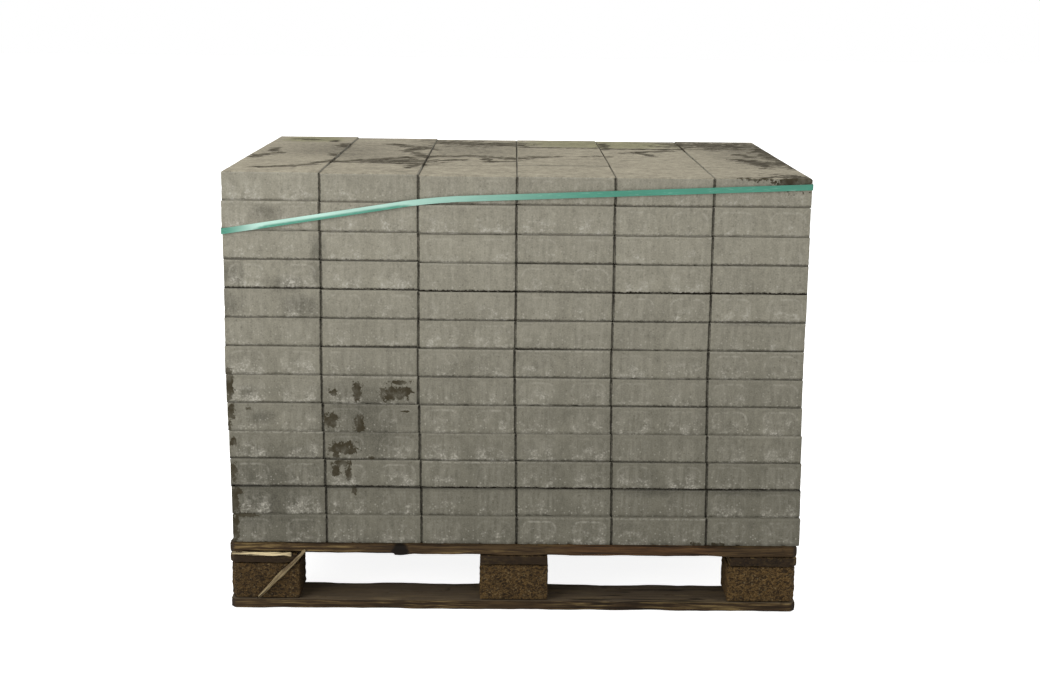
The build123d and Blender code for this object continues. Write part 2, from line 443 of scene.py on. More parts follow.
class Nodes:
    """Adds nodes to a tree and joins their sockets."""

    def __init__(self, tree):
        self.tree = tree

    def feed(self, socket, value):
        """Links a socket to an output, or sets its value."""
        if isinstance(value, bpy.types.NodeSocket):
            self.tree.links.new(value, socket)
        else:
            socket.default_value = value

    def add(self, kind, feeds=None, **settings):
        """A new node with its settings and its fed sockets."""
        node = self.tree.nodes.new("ShaderNode" + kind)
        for name, value in settings.items():
            setattr(node, name, value)
        for key, value in (feeds or {}).items():
            self.feed(node.inputs[key], value)
        return node

    def math(self, operation, *values):
        """A calculation with one, two or three values."""
        return self.add("Math", dict(enumerate(values)), operation=operation).outputs[0]

    def product(self, first, *others):
        """All values multiplied."""
        for other in others:
            first = self.math("MULTIPLY", first, other)
        return first

    def minus(self, value, other):
        """A value less another."""
        return self.math("SUBTRACT", value, other)

    def absolute(self, value):
        """A value without its sign."""
        return self.math("ABSOLUTE", value)

    def scaled(self, value, factor, start):
        """A value times a factor, added to a start."""
        return self.math("MULTIPLY_ADD", value, factor, start)

    def swing(self, start, wave, amount):
        """A start moved up and down by a noise about its middle."""
        return self.scaled(self.minus(wave, 0.5), amount, start)

    def smooth(self, value, start, end):
        """0 before the start and 1 after the end, with a soft step between."""
        feeds = {"Value": value, "From Min": start, "From Max": end}
        return self.add("MapRange", feeds, interpolation_type="SMOOTHSTEP").outputs[0]

    def mix(self, share, first, second):
        """One colour laid over another."""
        first, second = (colour if isinstance(colour, bpy.types.NodeSocket) else (*colour, 1.0)
                         for colour in (first, second))
        feeds = {0: share, 6: first, 7: second}
        return self.add("Mix", feeds, data_type="RGBA").outputs[2]

    def brighten(self, colour, factor):
        """A colour times a value."""
        return self.add("VectorMath", {0: colour, "Scale": factor}, operation="SCALE").outputs[0]

    def repeated(self, vector, repeats):
        """Place and scale of a pattern with so many repeats a metre, alike or given for each axis."""
        if not isinstance(repeats, tuple):
            return {"Vector": vector, "Scale": repeats}
        stretched = self.add("VectorMath", {0: vector, 1: repeats}, operation="MULTIPLY")
        return {"Vector": stretched.outputs[0], "Scale": 1.0}

    def noise(self, vector, repeats, detail=2.0, roughness=0.5):
        """Soft noise from 0 to 1."""
        feeds = {**self.repeated(vector, repeats), "Detail": detail, "Roughness": roughness}
        return self.add("TexNoise", feeds).outputs[0]

    def cells(self, vector, repeats):
        """Distance to the middle of a cell, and a random value for the cell."""
        node = self.add("TexVoronoi", self.repeated(vector, repeats))
        return node.outputs["Distance"], self.parts(node.outputs["Color"])[0]

    def parts(self, vector):
        """The three parts of a vector or colour."""
        return tuple(self.add("SeparateXYZ", {0: vector}).outputs)

    def place(self):
        """Place on the object, in metres."""
        return self.add("TexCoord").outputs["Object"]

    def facing(self):
        """The three parts of the surface's own direction."""
        return self.parts(self.add("NewGeometry").outputs["True Normal"])

    def kept(self, name):
        """A number kept on the points of the mesh."""
        return self.add("Attribute", attribute_name=name).outputs["Fac"]

    def group(self, tree, feeds):
        """Places a group of nodes and gives its outputs by name."""
        node = self.add("Group")
        node.node_tree = tree
        for name, value in feeds.items():
            self.feed(node.inputs[name], value)
        return {socket.name: socket for socket in node.outputs}

    def bump(self, height, strength, distance):
        """Small relief of a surface."""
        return self.add("Bump", {"Height": height, "Strength": strength, "Distance": distance}).outputs[0]


def new_group(name, inputs, outputs):
    """An empty node group with named sockets, its nodes, its inputs by name and its output node."""
    tree = bpy.data.node_groups.new(name, "ShaderNodeTree")
    for socket, kind in inputs.items():
        tree.interface.new_socket(socket, in_out="INPUT", socket_type=kind)
    for socket in outputs:
        tree.interface.new_socket(socket, in_out="OUTPUT", socket_type="NodeSocketFloat")
    given = tree.nodes.new("NodeGroupInput")
    result = tree.nodes.new("NodeGroupOutput")
    return tree, Nodes(tree), given.outputs, result.inputs


def new_material(name, specular, roughness=None):
    """An empty material, its nodes and its shader."""
    material = bpy.data.materials.new(name)
    material.use_nodes = True
    material.node_tree.nodes.clear()
    nodes = Nodes(material.node_tree)
    shader = nodes.add("BsdfPrincipled", {"Specular IOR Level": specular})
    if roughness is not None:
        shader.inputs["Roughness"].default_value = roughness
    output = nodes.add("OutputMaterial")
    material.node_tree.links.new(shader.outputs[0], output.inputs["Surface"])
    return material, nodes, shader.inputs


def shared_group(name, make):
    """A node group that is built once and found again by its name."""
    return bpy.data.node_groups.get(name) or make(name)


def grit_group(name):
    """Fine grain, pale specks and dark pits of a rough cast or pressed surface."""
    tree, nodes, given, result = new_group(
        name, {"Vector": "NodeSocketVector", "Scale": "NodeSocketFloat"}, ["Grain", "Pale", "Pit"]
    )
    place = given["Vector"]
    scale = given["Scale"]
    grain = nodes.noise(place, scale, 4, 0.65)
    distance, chance = nodes.cells(place, nodes.product(scale, 0.6))
    near = nodes.smooth(distance, 0.5, 0.2)
    nodes.feed(result["Grain"], grain)
    nodes.feed(result["Pale"], nodes.product(near, nodes.smooth(chance, 0.80, 0.92)))
    nodes.feed(result["Pit"], nodes.product(near, nodes.smooth(chance, 0.16, 0.06)))
    return tree


def timber_grain_group(name):
    """Long streaks, fine fibres and cracks of wood whose grain runs along X."""
    tree, nodes, given, result = new_group(
        name, {"Vector": "NodeSocketVector", "Seed": "NodeSocketFloat"}, ["Streak", "Fibre", "Crack"]
    )
    shift = nodes.add("CombineXYZ", {0: given["Seed"], 1: given["Seed"], 2: given["Seed"]}).outputs[0]
    place = nodes.add("VectorMath", {0: given["Vector"], 1: shift}, operation="ADD").outputs[0]
    streak = nodes.noise(place, (10, 60, 190), 5, 0.65)
    fibre = nodes.noise(place, (14, 300, 460), 4, 0.65)
    ridge = nodes.noise(place, (1.6, 46, 60))
    crack = nodes.smooth(nodes.absolute(nodes.minus(ridge, 0.5)), 0.022, 0.006)
    broken = nodes.smooth(nodes.noise(place, 4), 0.48, 0.60)
    nodes.feed(result["Streak"], streak)
    nodes.feed(result["Fibre"], fibre)
    nodes.feed(result["Crack"], nodes.product(crack, broken))
    return tree


# Pavers

# Heights of the mesh rows on a paver's side as shares of its height, closer at the bottom and pads' tops
LEVEL_SHARES = (0.045, 0.08, 0.13, 0.20, 0.30, 0.42, 0.54, 0.66, 0.75, 0.80, 0.84, 0.88, 0.92)

# Width of a pad's sloping edge
PAD_SLOPE = 0.005

# Wear of the upright arrises, and chips of the lower and the upright ones, as shares of the full depth
UPRIGHT_WEAR_SHARE = 0.12
CHIP_SHARES = (0.6, 0.3)

# Random looks of the pavers: their start, least bloom and its fade to the right, painted highlights of the
# lips, and grades of grime and painted shade
PAVER_SEED = 41
LEAST_BLOOM = 0.25
BLOOM_FADE = 0.45
LEAST_LIP_HIGHLIGHT = 0.06
LIP_HIGHLIGHT_SPREAD = 0.34
GRIME_AND_SHADE_GRADES = (0.6, 0.8, 0.9, 1.0)

# Wear of the joint under each course, and the strength of its grime and painted shade, from the lowest
# course up
JOINT_WEAR_AND_SHADE = (0.10, 0.12, 1.10, 0.65, 0.25, 0.70, 0.65, 0.80, 0.70, 1.10, 0.65, 0.50, 0.55)


def pavers_of(course):
    """Lowest and highest corner of each paver of a course, from left to right and front to back."""
    lot = copy_of_node(course, "paver_lot")
    before = set(bpy.data.objects)
    edit(lot)
    bpy.ops.mesh.separate(type="LOOSE")
    close()
    pieces = [lot] + [piece for piece in bpy.data.objects if piece not in before]
    boxes = [(places.min(axis=0), places.max(axis=0)) for places in map(points, pieces)]
    discard(*pieces)
    return sorted(boxes, key=lambda box: (round(box[0][0] / PAVER.x), round(box[0][1] / PAVER.y)))


def pad_distance(across, up, finish):
    """Distance outside the outline of the two raised pads of a paver's side, and below zero on a pad."""
    beside = np.abs(np.abs(across) - finish.pad_spread) - (finish.pad_width / 2 - finish.pad_round)
    above = up - (finish.pad_top - finish.pad_round)
    return np.hypot(np.maximum(beside, 0), np.maximum(above, 0)) - finish.pad_round


def lay_face_map(piece):
    """Maps each side of a paver by distance across from its middle and up from its bottom, in metres."""
    mesh = piece.data
    corners = np.empty(len(mesh.loops), np.int32)
    mesh.loops.foreach_get("vertex_index", corners)
    normals = np.empty(len(mesh.polygons) * 3, np.float32)
    mesh.polygons.foreach_get("normal", normals)
    counts = np.empty(len(mesh.polygons), np.int32)
    mesh.polygons.foreach_get("loop_total", counts)
    main = np.repeat(np.abs(normals.reshape(-1, 3)).argmax(axis=1), counts)
    places = points(piece)[corners]
    across = np.where(main == 0, places[:, 1], places[:, 0])
    up = np.where(main == 2, places[:, 1], places[:, 2])
    layer = mesh.uv_layers.new(name="face_map")
    layer.uv.foreach_set("vector", np.column_stack([across, up]).astype(np.float32).ravel())


def side_of(one, other, half):
    """Axis and sign of the side of a paver on which an upper edge lies, or nothing."""
    for axis in (0, 1):
        if abs(one[axis] - other[axis]) < MERGE and abs(abs(one[axis]) - half) < MERGE:
            return axis, int(math.copysign(1, one[axis]))
    return None


def model_paver(name, side, height, shown, finish):
    """A paver on the origin, open below, with a fine mesh on its shown faces, named by axis and sign."""
    half = side / 2
    outer_arris = finish.top_arris if (2, 1) in shown else finish.arris
    bpy.ops.object.select_all(action="DESELECT")
    bpy.ops.mesh.primitive_cube_add(size=1, location=(0, 0, height / 2), scale=(side, side, height))
    bpy.ops.object.transform_apply(location=True, rotation=False, scale=True)
    piece = bpy.context.object
    piece.name = name
    edit(piece)
    sides = {(axis, sign) for axis in (0, 1) for sign in (-1, 1)}
    for rounded, arris in ((sides & set(shown), outer_arris), (sides - set(shown), finish.upright_arris)):
        if rounded:
            select_edges(piece, lambda one, other: (
                min(one.z, other.z) > height - MERGE and side_of(one, other, half) in rounded
            ))
            bpy.ops.mesh.bevel(offset=arris, segments=3, affect="EDGES")
    select_edges(piece, lambda one, other: abs(one.z - other.z) > height / 2)
    bpy.ops.mesh.bevel(offset=finish.upright_arris, segments=2, affect="EDGES")
    bpy.ops.mesh.select_mode(type="FACE")
    for axis, sign in sorted(sides - set(shown)):
        select_faces(piece, lambda normal: normal[axis] * sign > SQUARELY)
        bpy.ops.mesh.inset(thickness=finish.nib_margin)
        outwards = Vector((0, 0, 0))
        outwards[axis] = sign * (PAVER.x - side) / 2
        bpy.ops.transform.translate(value=outwards)
    columns = spaced(-half, half, finish.column)
    grid = spaced(-half, half, finish.grid)
    levels = [height * share for share in LEVEL_SHARES]
    for axis, sign in shown:
        def faces_out(normal):
            return normal[axis] * sign > (MOSTLY if axis == 2 else PARTLY)
        if axis == 2:
            cut(piece, 0, grid, faces_out)
            cut(piece, 1, grid, faces_out)
        else:
            cut(piece, 1 - axis, columns, faces_out)
            cut(piece, 2, levels, faces_out)
    select_faces(piece, lambda normal: normal.z < -MOSTLY)
    bpy.ops.mesh.delete(type="FACE")
    close()
    lay_face_map(piece)
    weigh_paver(piece, side, height, shown, finish)
    return piece


def weigh_paver(piece, side, height, shown, finish):
    """Marks the points of a paver that its wear, chips, unevenness and pads move."""
    places = points(piece)
    skin = 2 * finish.upright_arris
    outer = np.zeros(len(places))
    pads = np.zeros(len(places))
    for axis, sign in shown:
        if axis == 2:
            on_face = places[:, 2] > height - finish.top_arris
        else:
            on_face = places[:, axis] * sign > side / 2 - skin
            distance = pad_distance(places[:, 1 - axis], places[:, 2], finish)
            pads = np.maximum(pads, on_face * np.clip(0.5 - distance / PAD_SLOPE, 0, 1))
        outer = np.maximum(outer, on_face)
    low, high = (-side / 2, -side / 2, 0), (side / 2, side / 2, height)
    arris = near_arris(places, low, high, finish.chip_reach) * (places[:, 2] < height - finish.chip_reach)
    bottom = np.clip(1 - places[:, 2] / finish.joint_reach, 0, 1)
    weigh(piece, "outer", outer)
    weigh(piece, "pads", pads)
    weigh(piece, "wear", outer * np.maximum(bottom, UPRIGHT_WEAR_SHARE * arris))
    weigh(piece, "chips", outer * np.maximum(CHIP_SHARES[0] * bottom, CHIP_SHARES[1] * arris))


def quarter_turns(left, right, front, back):
    """Kind of paver and the quarter turns that bring its fine sides to the shown sides of the stack."""
    sides = (front, right, back, left)
    shown = [turns for turns, is_shown in enumerate(sides) if is_shown]
    corners = [turns for turns in shown if sides[turns - 1]]
    if corners:
        return "corner", corners[0]
    return ("edge", shown[0]) if shown else ("inner", 0)


# Stains of the stack, counted in pavers from its lower left front corner


def front_spots(depth, *marks):
    """Spots on the front, as middle and reach, from places across and up, half widths and half heights."""
    return [((across, 0, up), (wide, depth, high)) for across, up, wide, high in marks]


def top_spots(depth, *marks):
    """Spots on the top, as middle and reach, from places across and back and the half sizes there."""
    return [((across, back, len(COURSES)), (wide, deep, depth)) for across, back, wide, deep in marks]


# Damp stains of the front, of its left edge and of the top
DAMP_STAINS = front_spots(
    0.1,
    (1.11, 5.41, 0.05, 0.13), (1.36, 5.45, 0.05, 0.32), (1.73, 5.36, 0.17, 0.25), (1.79, 5.77, 0.16, 0.07),
    (1.86, 5.46, 0.07, 0.14), (1.09, 4.42, 0.08, 0.32), (1.38, 4.30, 0.06, 0.32), (1.86, 4.74, 0.07, 0.04),
    (1.20, 3.40, 0.15, 0.26), (1.27, 3.60, 0.05, 0.12), (1.13, 3.13, 0.05, 0.09), (1.50, 3.06, 0.03, 0.08),
    (1.18, 2.88, 0.11, 0.13), (1.13, 2.60, 0.05, 0.24), (1.26, 2.48, 0.04, 0.26), (1.32, 1.87, 0.03, 0.17),
    (0.23, 4.78, 0.03, 0.09), (0.08, 1.77, 0.10, 0.13), (0.20, 0.97, 0.12, 0.07), (4.90, 0.02, 0.06, 0.10),
    (5.12, 0.02, 0.09, 0.09),
)
DAMP_STAINS += front_spots(0.2, (0.03, 6.1, 0.05, 0.12), (0.02, 4.14, 0.04, 0.16), (0.07, 3.6, 0.04, 0.16))
DAMP_STAINS += front_spots(0.3, (0.04, 5.6, 0.05, 0.48), (0.05, 4.68, 0.05, 0.28), (0.05, 2.55, 0.06, 0.36))
DAMP_STAINS += front_spots(0.4, (0.07, 1.40, 0.05, 0.50))
DAMP_STAINS += front_spots(0.5, (0.06, 0.50, 0.05, 0.65))
DAMP_STAINS += top_spots(0.5, (5.52, 3.35, 0.50, 0.52), (5.80, 0.10, 0.28, 0.30))
DAMP_STAINS += top_spots(0.4, (2.52, 3.38, 0.46, 0.36))
DAMP_STAINS += top_spots(0.2, (5.45, 0.04, 0.22, 0.10))

# Damp streaks on the top: two ends (across, back) and the half widths there
TOP_STREAKS = [
    ((0.27, 0.40), (0.73, 0.58), (0.07, 0.10)), ((0.73, 0.58), (1.02, 1.15), (0.11, 0.08)),
    ((1.02, 1.15), (1.78, 1.62), (0.07, 0.17)), ((1.05, 1.12), (1.96, 0.98), (0.08, 0.14)),
    ((1.48, 3.20), (1.94, 2.72), (0.11, 0.17)), ((1.88, 2.85), (1.72, 2.35), (0.17, 0.13)),
    ((1.81, 2.25), (1.94, 1.70), (0.07, 0.13)), ((1.94, 0.95), (1.85, 0.55), (0.10, 0.07)),
    ((0.93, 3.05), (0.93, 2.65), (0.08, 0.10)), ((0.93, 1.90), (0.96, 1.65), (0.07, 0.07)),
    ((0.33, 3.62), (0.50, 3.55), (0.11, 0.11)), ((0.77, 3.50), (0.78, 3.30), (0.08, 0.07)),
    ((0.20, 2.45), (0.22, 2.05), (0.08, 0.07)), ((0.09, 1.45), (0.25, 1.85), (0.11, 0.14)),
    ((2.07, 1.92), (2.50, 1.98), (0.15, 0.13)), ((2.68, 1.90), (3.02, 1.70), (0.08, 0.17)),
    ((2.12, 1.48), (2.40, 1.56), (0.10, 0.08)), ((2.66, 1.40), (3.02, 1.46), (0.10, 0.08)),
    ((3.20, 1.86), (3.45, 1.94), (0.10, 0.10)), ((3.72, 1.98), (4.01, 2.08), (0.08, 0.08)),
    ((4.05, 3.65), (4.05, 2.90), (0.08, 0.08)), ((4.22, 2.50), (4.43, 2.66), (0.10, 0.11)),
    ((4.39, 2.62), (4.78, 2.82), (0.14, 0.10)), ((4.48, 2.45), (4.54, 2.15), (0.08, 0.07)),
    ((5.91, 2.90), (5.95, 0.90), (0.22, 0.11)), ((5.45, 1.85), (5.78, 1.35), (0.10, 0.31)),
    ((5.69, 1.50), (5.65, 0.95), (0.22, 0.08)), ((5.58, 2.40), (5.65, 2.10), (0.10, 0.08)),
    ((3.08, 3.00), (3.95, 3.02), (0.07, 0.05)), ((4.10, 3.00), (4.98, 3.00), (0.05, 0.07)),
    ((5.10, 3.55), (5.95, 3.40), (0.50, 0.55)), ((2.15, 3.58), (2.92, 3.38), (0.34, 0.34)),
    ((5.95, 3.10), (5.98, 1.90), (0.20, 0.14)), ((1.30, 1.20), (1.95, 1.30), (0.10, 0.24)),
    ((2.60, 2.00), (2.70, 1.40), (0.07, 0.07)),
]

# Mossy tops of the pavers in the back row
MOSSY = top_spots(0.4, (4.00, 3.52, 1.02, 0.54), (0.50, 3.60, 0.40, 0.35))

# Soft dark clouds on the front and the top: dark stains, and painted shadows under overhanging courses
DARK_CLOUDS_AND_SHADOWS = front_spots(
    0.1,
    (0.63, 9.15, 0.28, 0.40), (0.80, 8.40, 0.34, 0.60), (0.97, 10.4, 0.12, 0.70), (0.96, 9.55, 0.10, 0.60),
    # The last spot of this line and both spots of the next are painted shadows under overhanging courses
    (0.45, 11.6, 0.22, 0.40), (0.24, 5.40, 0.14, 0.32), (0.37, 4.50, 0.20, 0.30), (4.45, 1.90, 0.55, 0.26),
    (5.30, 1.92, 0.55, 0.22), (5.50, 7.95, 0.60, 0.16),
) + front_spots(
    0.2,
    (0.08, 9.50, 0.20, 0.75), (0.07, 8.45, 0.20, 0.65), (0.45, 1.70, 0.85, 2.30), (1.45, 4.60, 0.70, 2.00),
) + top_spots(
    0.4,
    (1.65, 1.25, 0.42, 0.40), (1.00, 2.30, 1.00, 1.30), (2.50, 2.60, 0.90, 1.10), (5.70, 2.40, 0.80, 1.80),
)

# Field value that counts as far outside every stain
FAR_OUTSIDE = -2.5


def field_of(spots, places):
    """How far into one of the spots each place lies: 1 in its middle, 0 at its edge and below outside."""
    field = np.full(len(places), FAR_OUTSIDE)
    for middle, reach in spots:
        centre = np.array([low + share * pitch for low, share, pitch in zip(STACK_LOW, middle, PAVER)])
        spread = np.array(reach) * np.array(PAVER)
        gap = np.linalg.norm((places - centre) / spread, ord=3, axis=1)
        field = np.maximum(field, 1 - gap)
    return field


def streak_field(places):
    """How far into one of the damp streaks on top of the stack each place lies, counted as in field_of."""
    spots = (places[:, :2] - np.array(STACK_LOW.xy)) / np.array(PAVER.xy)
    field = np.full(len(places), FAR_OUTSIDE)
    for start, end, widths in TOP_STREAKS:
        along = np.subtract(end, start)
        share = np.clip((spots - start) @ along / (along @ along), 0, 1)
        gap = np.linalg.norm(spots - start - np.outer(share, along), axis=1)
        field = np.maximum(field, 1 - gap / np.interp(share, (0, 1), widths))
    return np.where(places[:, 2] > STACK_HIGH.z - PAVER.z / 2, field, FAR_OUTSIDE)


# Concrete

# Turn of the brush marks on the top
BRUSH_TURN = math.radians(-40)

# Where a layer of a paver's side has faded out and where it is full: across a pad's outline
RIM_BAND = (0.0035, 0.0005)
PAD_BAND = (0.008, -0.010)

# The same, up from the bottom of the paver, and down from its top for the painted highlight of the lip
RIM_RISE = (0.018, 0.040)
BLOOM_RISE = (0.050, 0.008)
FOOT_RISE = (0.018, 0.007)
SPECK_RISE = (0.058, 0.010)
LIP_HIGHLIGHT_FALL = (0.007, 0.002)

# Height up to which a lower arris is all grime and painted shade, and how far the edges of that and of the
# upright joints' dirt and painted shade wander
FULL_GRIME_AND_SHADE = 0.0022
GRIME_AND_SHADE_FRAY = 0.010
SEAM_FRAY = 0.003

# Depth of the concrete's fine relief
CONCRETE_RELIEF = 0.0008


def read_face(nodes):
    """Places, directions and noises of the concrete that several of its layers read."""
    place = nodes.place()
    x, y, height = nodes.parts(place)
    across, up = nodes.parts(nodes.add("UVMap", uv_map="face_map").outputs[0])[:2]
    upright = nodes.smooth(nodes.absolute(nodes.facing()[2]), 0.8, 0.5)
    on_top = nodes.smooth(height, STACK_HIGH.z - PAVER.z / 2, STACK_HIGH.z - PAVER.z / 4)
    slanted = nodes.add("Mapping", {"Vector": place, "Rotation": (0, 0, BRUSH_TURN)}).outputs[0]
    return SimpleNamespace(
        place=place, plan=(x, y), height=height, across=across, up=up, upright=upright,
        turned=nodes.product(nodes.minus(1.0, upright), on_top),
        grit=nodes.group(shared_group("grit", grit_group), {"Vector": place, "Scale": 330.0}),
        mottle=nodes.noise(place, 14, 4, 0.6),
        patch=nodes.noise(place, 34, 3, 0.6),
        blotch=nodes.noise(place, 85, 3, 0.65),
        fray=nodes.noise(place, 160, 3, 0.7),
        streaks=nodes.noise(place, (120, 120, 18), 4, 0.65),
        brushed=nodes.noise(slanted, (26, 58, 1), 5, 0.7),
    )


def ground_colour(nodes, face, finish):
    """Dry concrete turning darker and greyer towards the pallet, from damp and painted shade, uneven at
    many scales, with a mossy back row, and soft dark clouds of stains and painted shadows.
    """
    # Darker and greyer towards the pallet: partly damp, partly painted shade of the lower courses
    level = nodes.swing(face.height, face.mottle, 0.12)
    rise = nodes.smooth(level, STACK_LOW.z, STACK_HIGH.z - PAVER.z)
    colour = nodes.mix(rise, finish.lower, finish.upper)
    colour = nodes.mix(face.turned, colour, finish.upturned)
    mossy = nodes.smooth(nodes.swing(nodes.kept("moss"), face.blotch, 1.6), -0.10, 0.35)
    colour = nodes.mix(nodes.product(mossy, face.turned, 0.75), colour, finish.moss)
    light = nodes.scaled(nodes.kept("shade"), 0.035, 1.0)
    everywhere = ((face.mottle, 0.24), (face.patch, 0.28), (face.blotch, 0.34), (face.grit["Grain"], 0.85))
    for wave, amount in everywhere:
        light = nodes.swing(light, wave, amount)
    for wave, where, amount in (
        (face.streaks, face.upright, 0.42),
        (face.brushed, face.turned, 0.45),
        (face.patch, face.turned, 0.40),
        (face.blotch, face.turned, 0.70),
    ):
        light = nodes.scaled(nodes.product(nodes.minus(wave, 0.5), where), amount, light)
    # Darkens the dark stains and the painted shadows under overhanging courses
    cloud_and_shadow = nodes.swing(nodes.kept("cloud_and_shadow"), face.patch, 1.2)
    light = nodes.scaled(nodes.smooth(cloud_and_shadow, -0.05, 0.9), -0.34, light)
    return nodes.brighten(colour, light)


def pad_outline(nodes, face, finish):
    """Distance outside the outline of the two pads, counted as in pad_distance."""
    beside = nodes.absolute(nodes.minus(nodes.absolute(face.across), finish.pad_spread))
    beside = nodes.minus(beside, finish.pad_width / 2 - finish.pad_round)
    above = nodes.minus(face.up, finish.pad_top - finish.pad_round)
    outside = {axis: nodes.math("MAXIMUM", gap, 0.0) for axis, gap in enumerate((beside, above))}
    corner = nodes.add("CombineXYZ", outside).outputs[0]
    distance = nodes.add("VectorMath", {0: corner}, operation="LENGTH").outputs["Value"]
    return nodes.minus(distance, finish.pad_round)


def lay_bloom(nodes, face, finish, colour):
    """Lays the veil, a painted highlight on the pads' upper rims, lime bloom and pale specks of the pads
    over a colour.
    """
    outline = pad_outline(nodes, face, finish)
    share = nodes.kept("bloom")
    on_pad = nodes.product(nodes.smooth(outline, *PAD_BAND), face.upright)
    veil = nodes.product(on_pad, nodes.smooth(face.streaks, 0.40, 0.66), 0.09)
    # Painted highlight along the upper outline of each pad, in the bloom colour
    rim = nodes.product(nodes.smooth(nodes.absolute(outline), *RIM_BAND), face.upright)
    rim = nodes.product(rim, nodes.smooth(face.up, *RIM_RISE), nodes.smooth(face.blotch, 0.36, 0.62))
    rim = nodes.product(rim, nodes.scaled(nodes.kept("rim"), 0.28, 0.05))
    clouds = nodes.noise(face.place, (46, 46, 56), 4, 0.65)
    clouds = nodes.smooth(nodes.minus(clouds, nodes.scaled(share, -0.22, 0.59)), 0.0, 0.22)
    clouds = nodes.product(clouds, nodes.smooth(face.up, *BLOOM_RISE))
    foot = nodes.smooth(nodes.noise(face.place, (30, 30, 70), 3, 0.6), 0.50, 0.64)
    foot = nodes.product(foot, nodes.smooth(face.up, *FOOT_RISE), share)
    speckle = nodes.smooth(nodes.noise(face.place, 210, 4, 0.7), 0.44, 0.66)
    bloom = nodes.product(nodes.math("MAXIMUM", clouds, foot), on_pad, nodes.scaled(speckle, 0.80, 0.22))
    specks = nodes.product(face.grit["Pale"], face.upright, nodes.smooth(face.up, *SPECK_RISE), 0.42)
    for layer in (veil, rim, bloom, specks):
        colour = nodes.mix(layer, colour, finish.bloom)
    return colour


def lay_dirt(nodes, face, finish, colour):
    """Lays painted highlights on upper arrises, grime and painted shade on lower ones, pits, and dirt and
    painted shade in upright joints over a colour.
    """
    # Painted highlight along the upper arris of each side, in the bloom colour
    lip_highlight = nodes.smooth(face.up, *(PAVER.z - fall for fall in LIP_HIGHLIGHT_FALL))
    lip_highlight = nodes.product(lip_highlight, face.upright, nodes.kept("lip_highlight"), nodes.smooth(face.fray, 0.38, 0.58))
    colour = nodes.mix(lip_highlight, colour, finish.bloom)
    # Grime and painted shade along the lower arris, where the bed joint lies in shade
    grime_and_shade = nodes.smooth(nodes.swing(face.up, face.fray, GRIME_AND_SHADE_FRAY), finish.joint_reach, FULL_GRIME_AND_SHADE)
    colour = nodes.mix(nodes.product(grime_and_shade, face.upright, nodes.kept("grime_and_shade")), colour, finish.joint)
    colour = nodes.mix(nodes.product(face.grit["Pit"], 0.24), colour, finish.damp)

    # The corners of the stack have no joint, so the dirt and painted shade of the upright joints fade out
    # towards them
    inwards = [
        nodes.math("MINIMUM", nodes.minus(part, low), nodes.minus(high, part))
        for part, low, high in zip(face.plan, STACK_LOW.xy, STACK_HIGH.xy)
    ]
    inner = nodes.smooth(nodes.math("MAXIMUM", *inwards), PAVER.x / 8, PAVER.x / 4)
    # Dirt and painted shade along the upright joints
    seam_dirt_and_shade = nodes.swing(nodes.minus(PAVER.x / 2, nodes.absolute(face.across)), face.fray, SEAM_FRAY)
    seam_dirt_and_shade = nodes.smooth(seam_dirt_and_shade, finish.seam_reach, finish.seam_reach / 2)
    return nodes.mix(nodes.product(seam_dirt_and_shade, face.upright, inner, 0.95), colour, finish.joint)


def damp_share(nodes, face):
    """How damp the concrete is, from 0 to 1, in stains with ragged edges."""
    side_edge = nodes.noise(face.place, (110, 110, 90), 5, 0.75)
    edge = nodes.scaled(nodes.minus(side_edge, face.brushed), face.upright, face.brushed)
    ragged = nodes.swing(nodes.kept("damp"), edge, nodes.scaled(face.turned, 2.2, 3.2))
    ragged = nodes.product(ragged, nodes.scaled(face.turned, -0.62, 1.0))
    soak = nodes.scaled(nodes.smooth(face.patch, 0.36, 0.60), 0.30, 0.66)
    return nodes.product(nodes.smooth(ragged, 0.0, 0.22), soak)


def concrete_material(finish):
    """Weathered concrete: speckled, streaked and bloomed, darker and greyer towards the pallet from damp
    and painted shade, with painted highlights and shade at its arrises and joints.
    """
    material, nodes, shader = new_material("weathered_concrete", specular=0.1)
    face = read_face(nodes)
    colour = ground_colour(nodes, face, finish)
    colour = lay_bloom(nodes, face, finish, colour)
    colour = lay_dirt(nodes, face, finish, colour)
    damp = damp_share(nodes, face)
    nodes.feed(shader["Base Color"], nodes.mix(damp, colour, finish.damp))
    nodes.feed(shader["Roughness"], nodes.scaled(damp, -0.06, 0.96))
    relief = nodes.scaled(face.grit["Grain"], 0.8, nodes.product(face.blotch, 0.5))
    relief = nodes.scaled(face.grit["Pit"], -0.5, relief)
    nodes.feed(shader["Normal"], nodes.bump(relief, 0.4, CONCRETE_RELIEF))
    return material


def draw_traits(chance, rightward, worn):
    """Random looks of one paver: its random shade, lime bloom, painted highlights of its lip and pad rims,
    and its grime and painted shade.
    """
    return {
        "shade": chance.uniform(-1, 1),
        "bloom": chance.uniform(LEAST_BLOOM, 1) * (1 - BLOOM_FADE * rightward),
        "lip_highlight": LEAST_LIP_HIGHLIGHT + LIP_HIGHLIGHT_SPREAD * chance.random() ** 3,
        "grime_and_shade": chance.choice(GRIME_AND_SHADE_GRADES) * worn,
        "rim": chance.random() ** 2,
    }


def place_paver(master, low, high, turns, height):
    """A copy of a modelled paver in its place in the stack."""
    paver = copy_of(master, "paver")
    paver.location = ((low[0] + high[0]) / 2, (low[1] + high[1]) / 2, low[2])
    paver.rotation_euler.z = turns * math.pi / 2
    paver.scale.z = (high[2] - low[2]) / height
    return paver


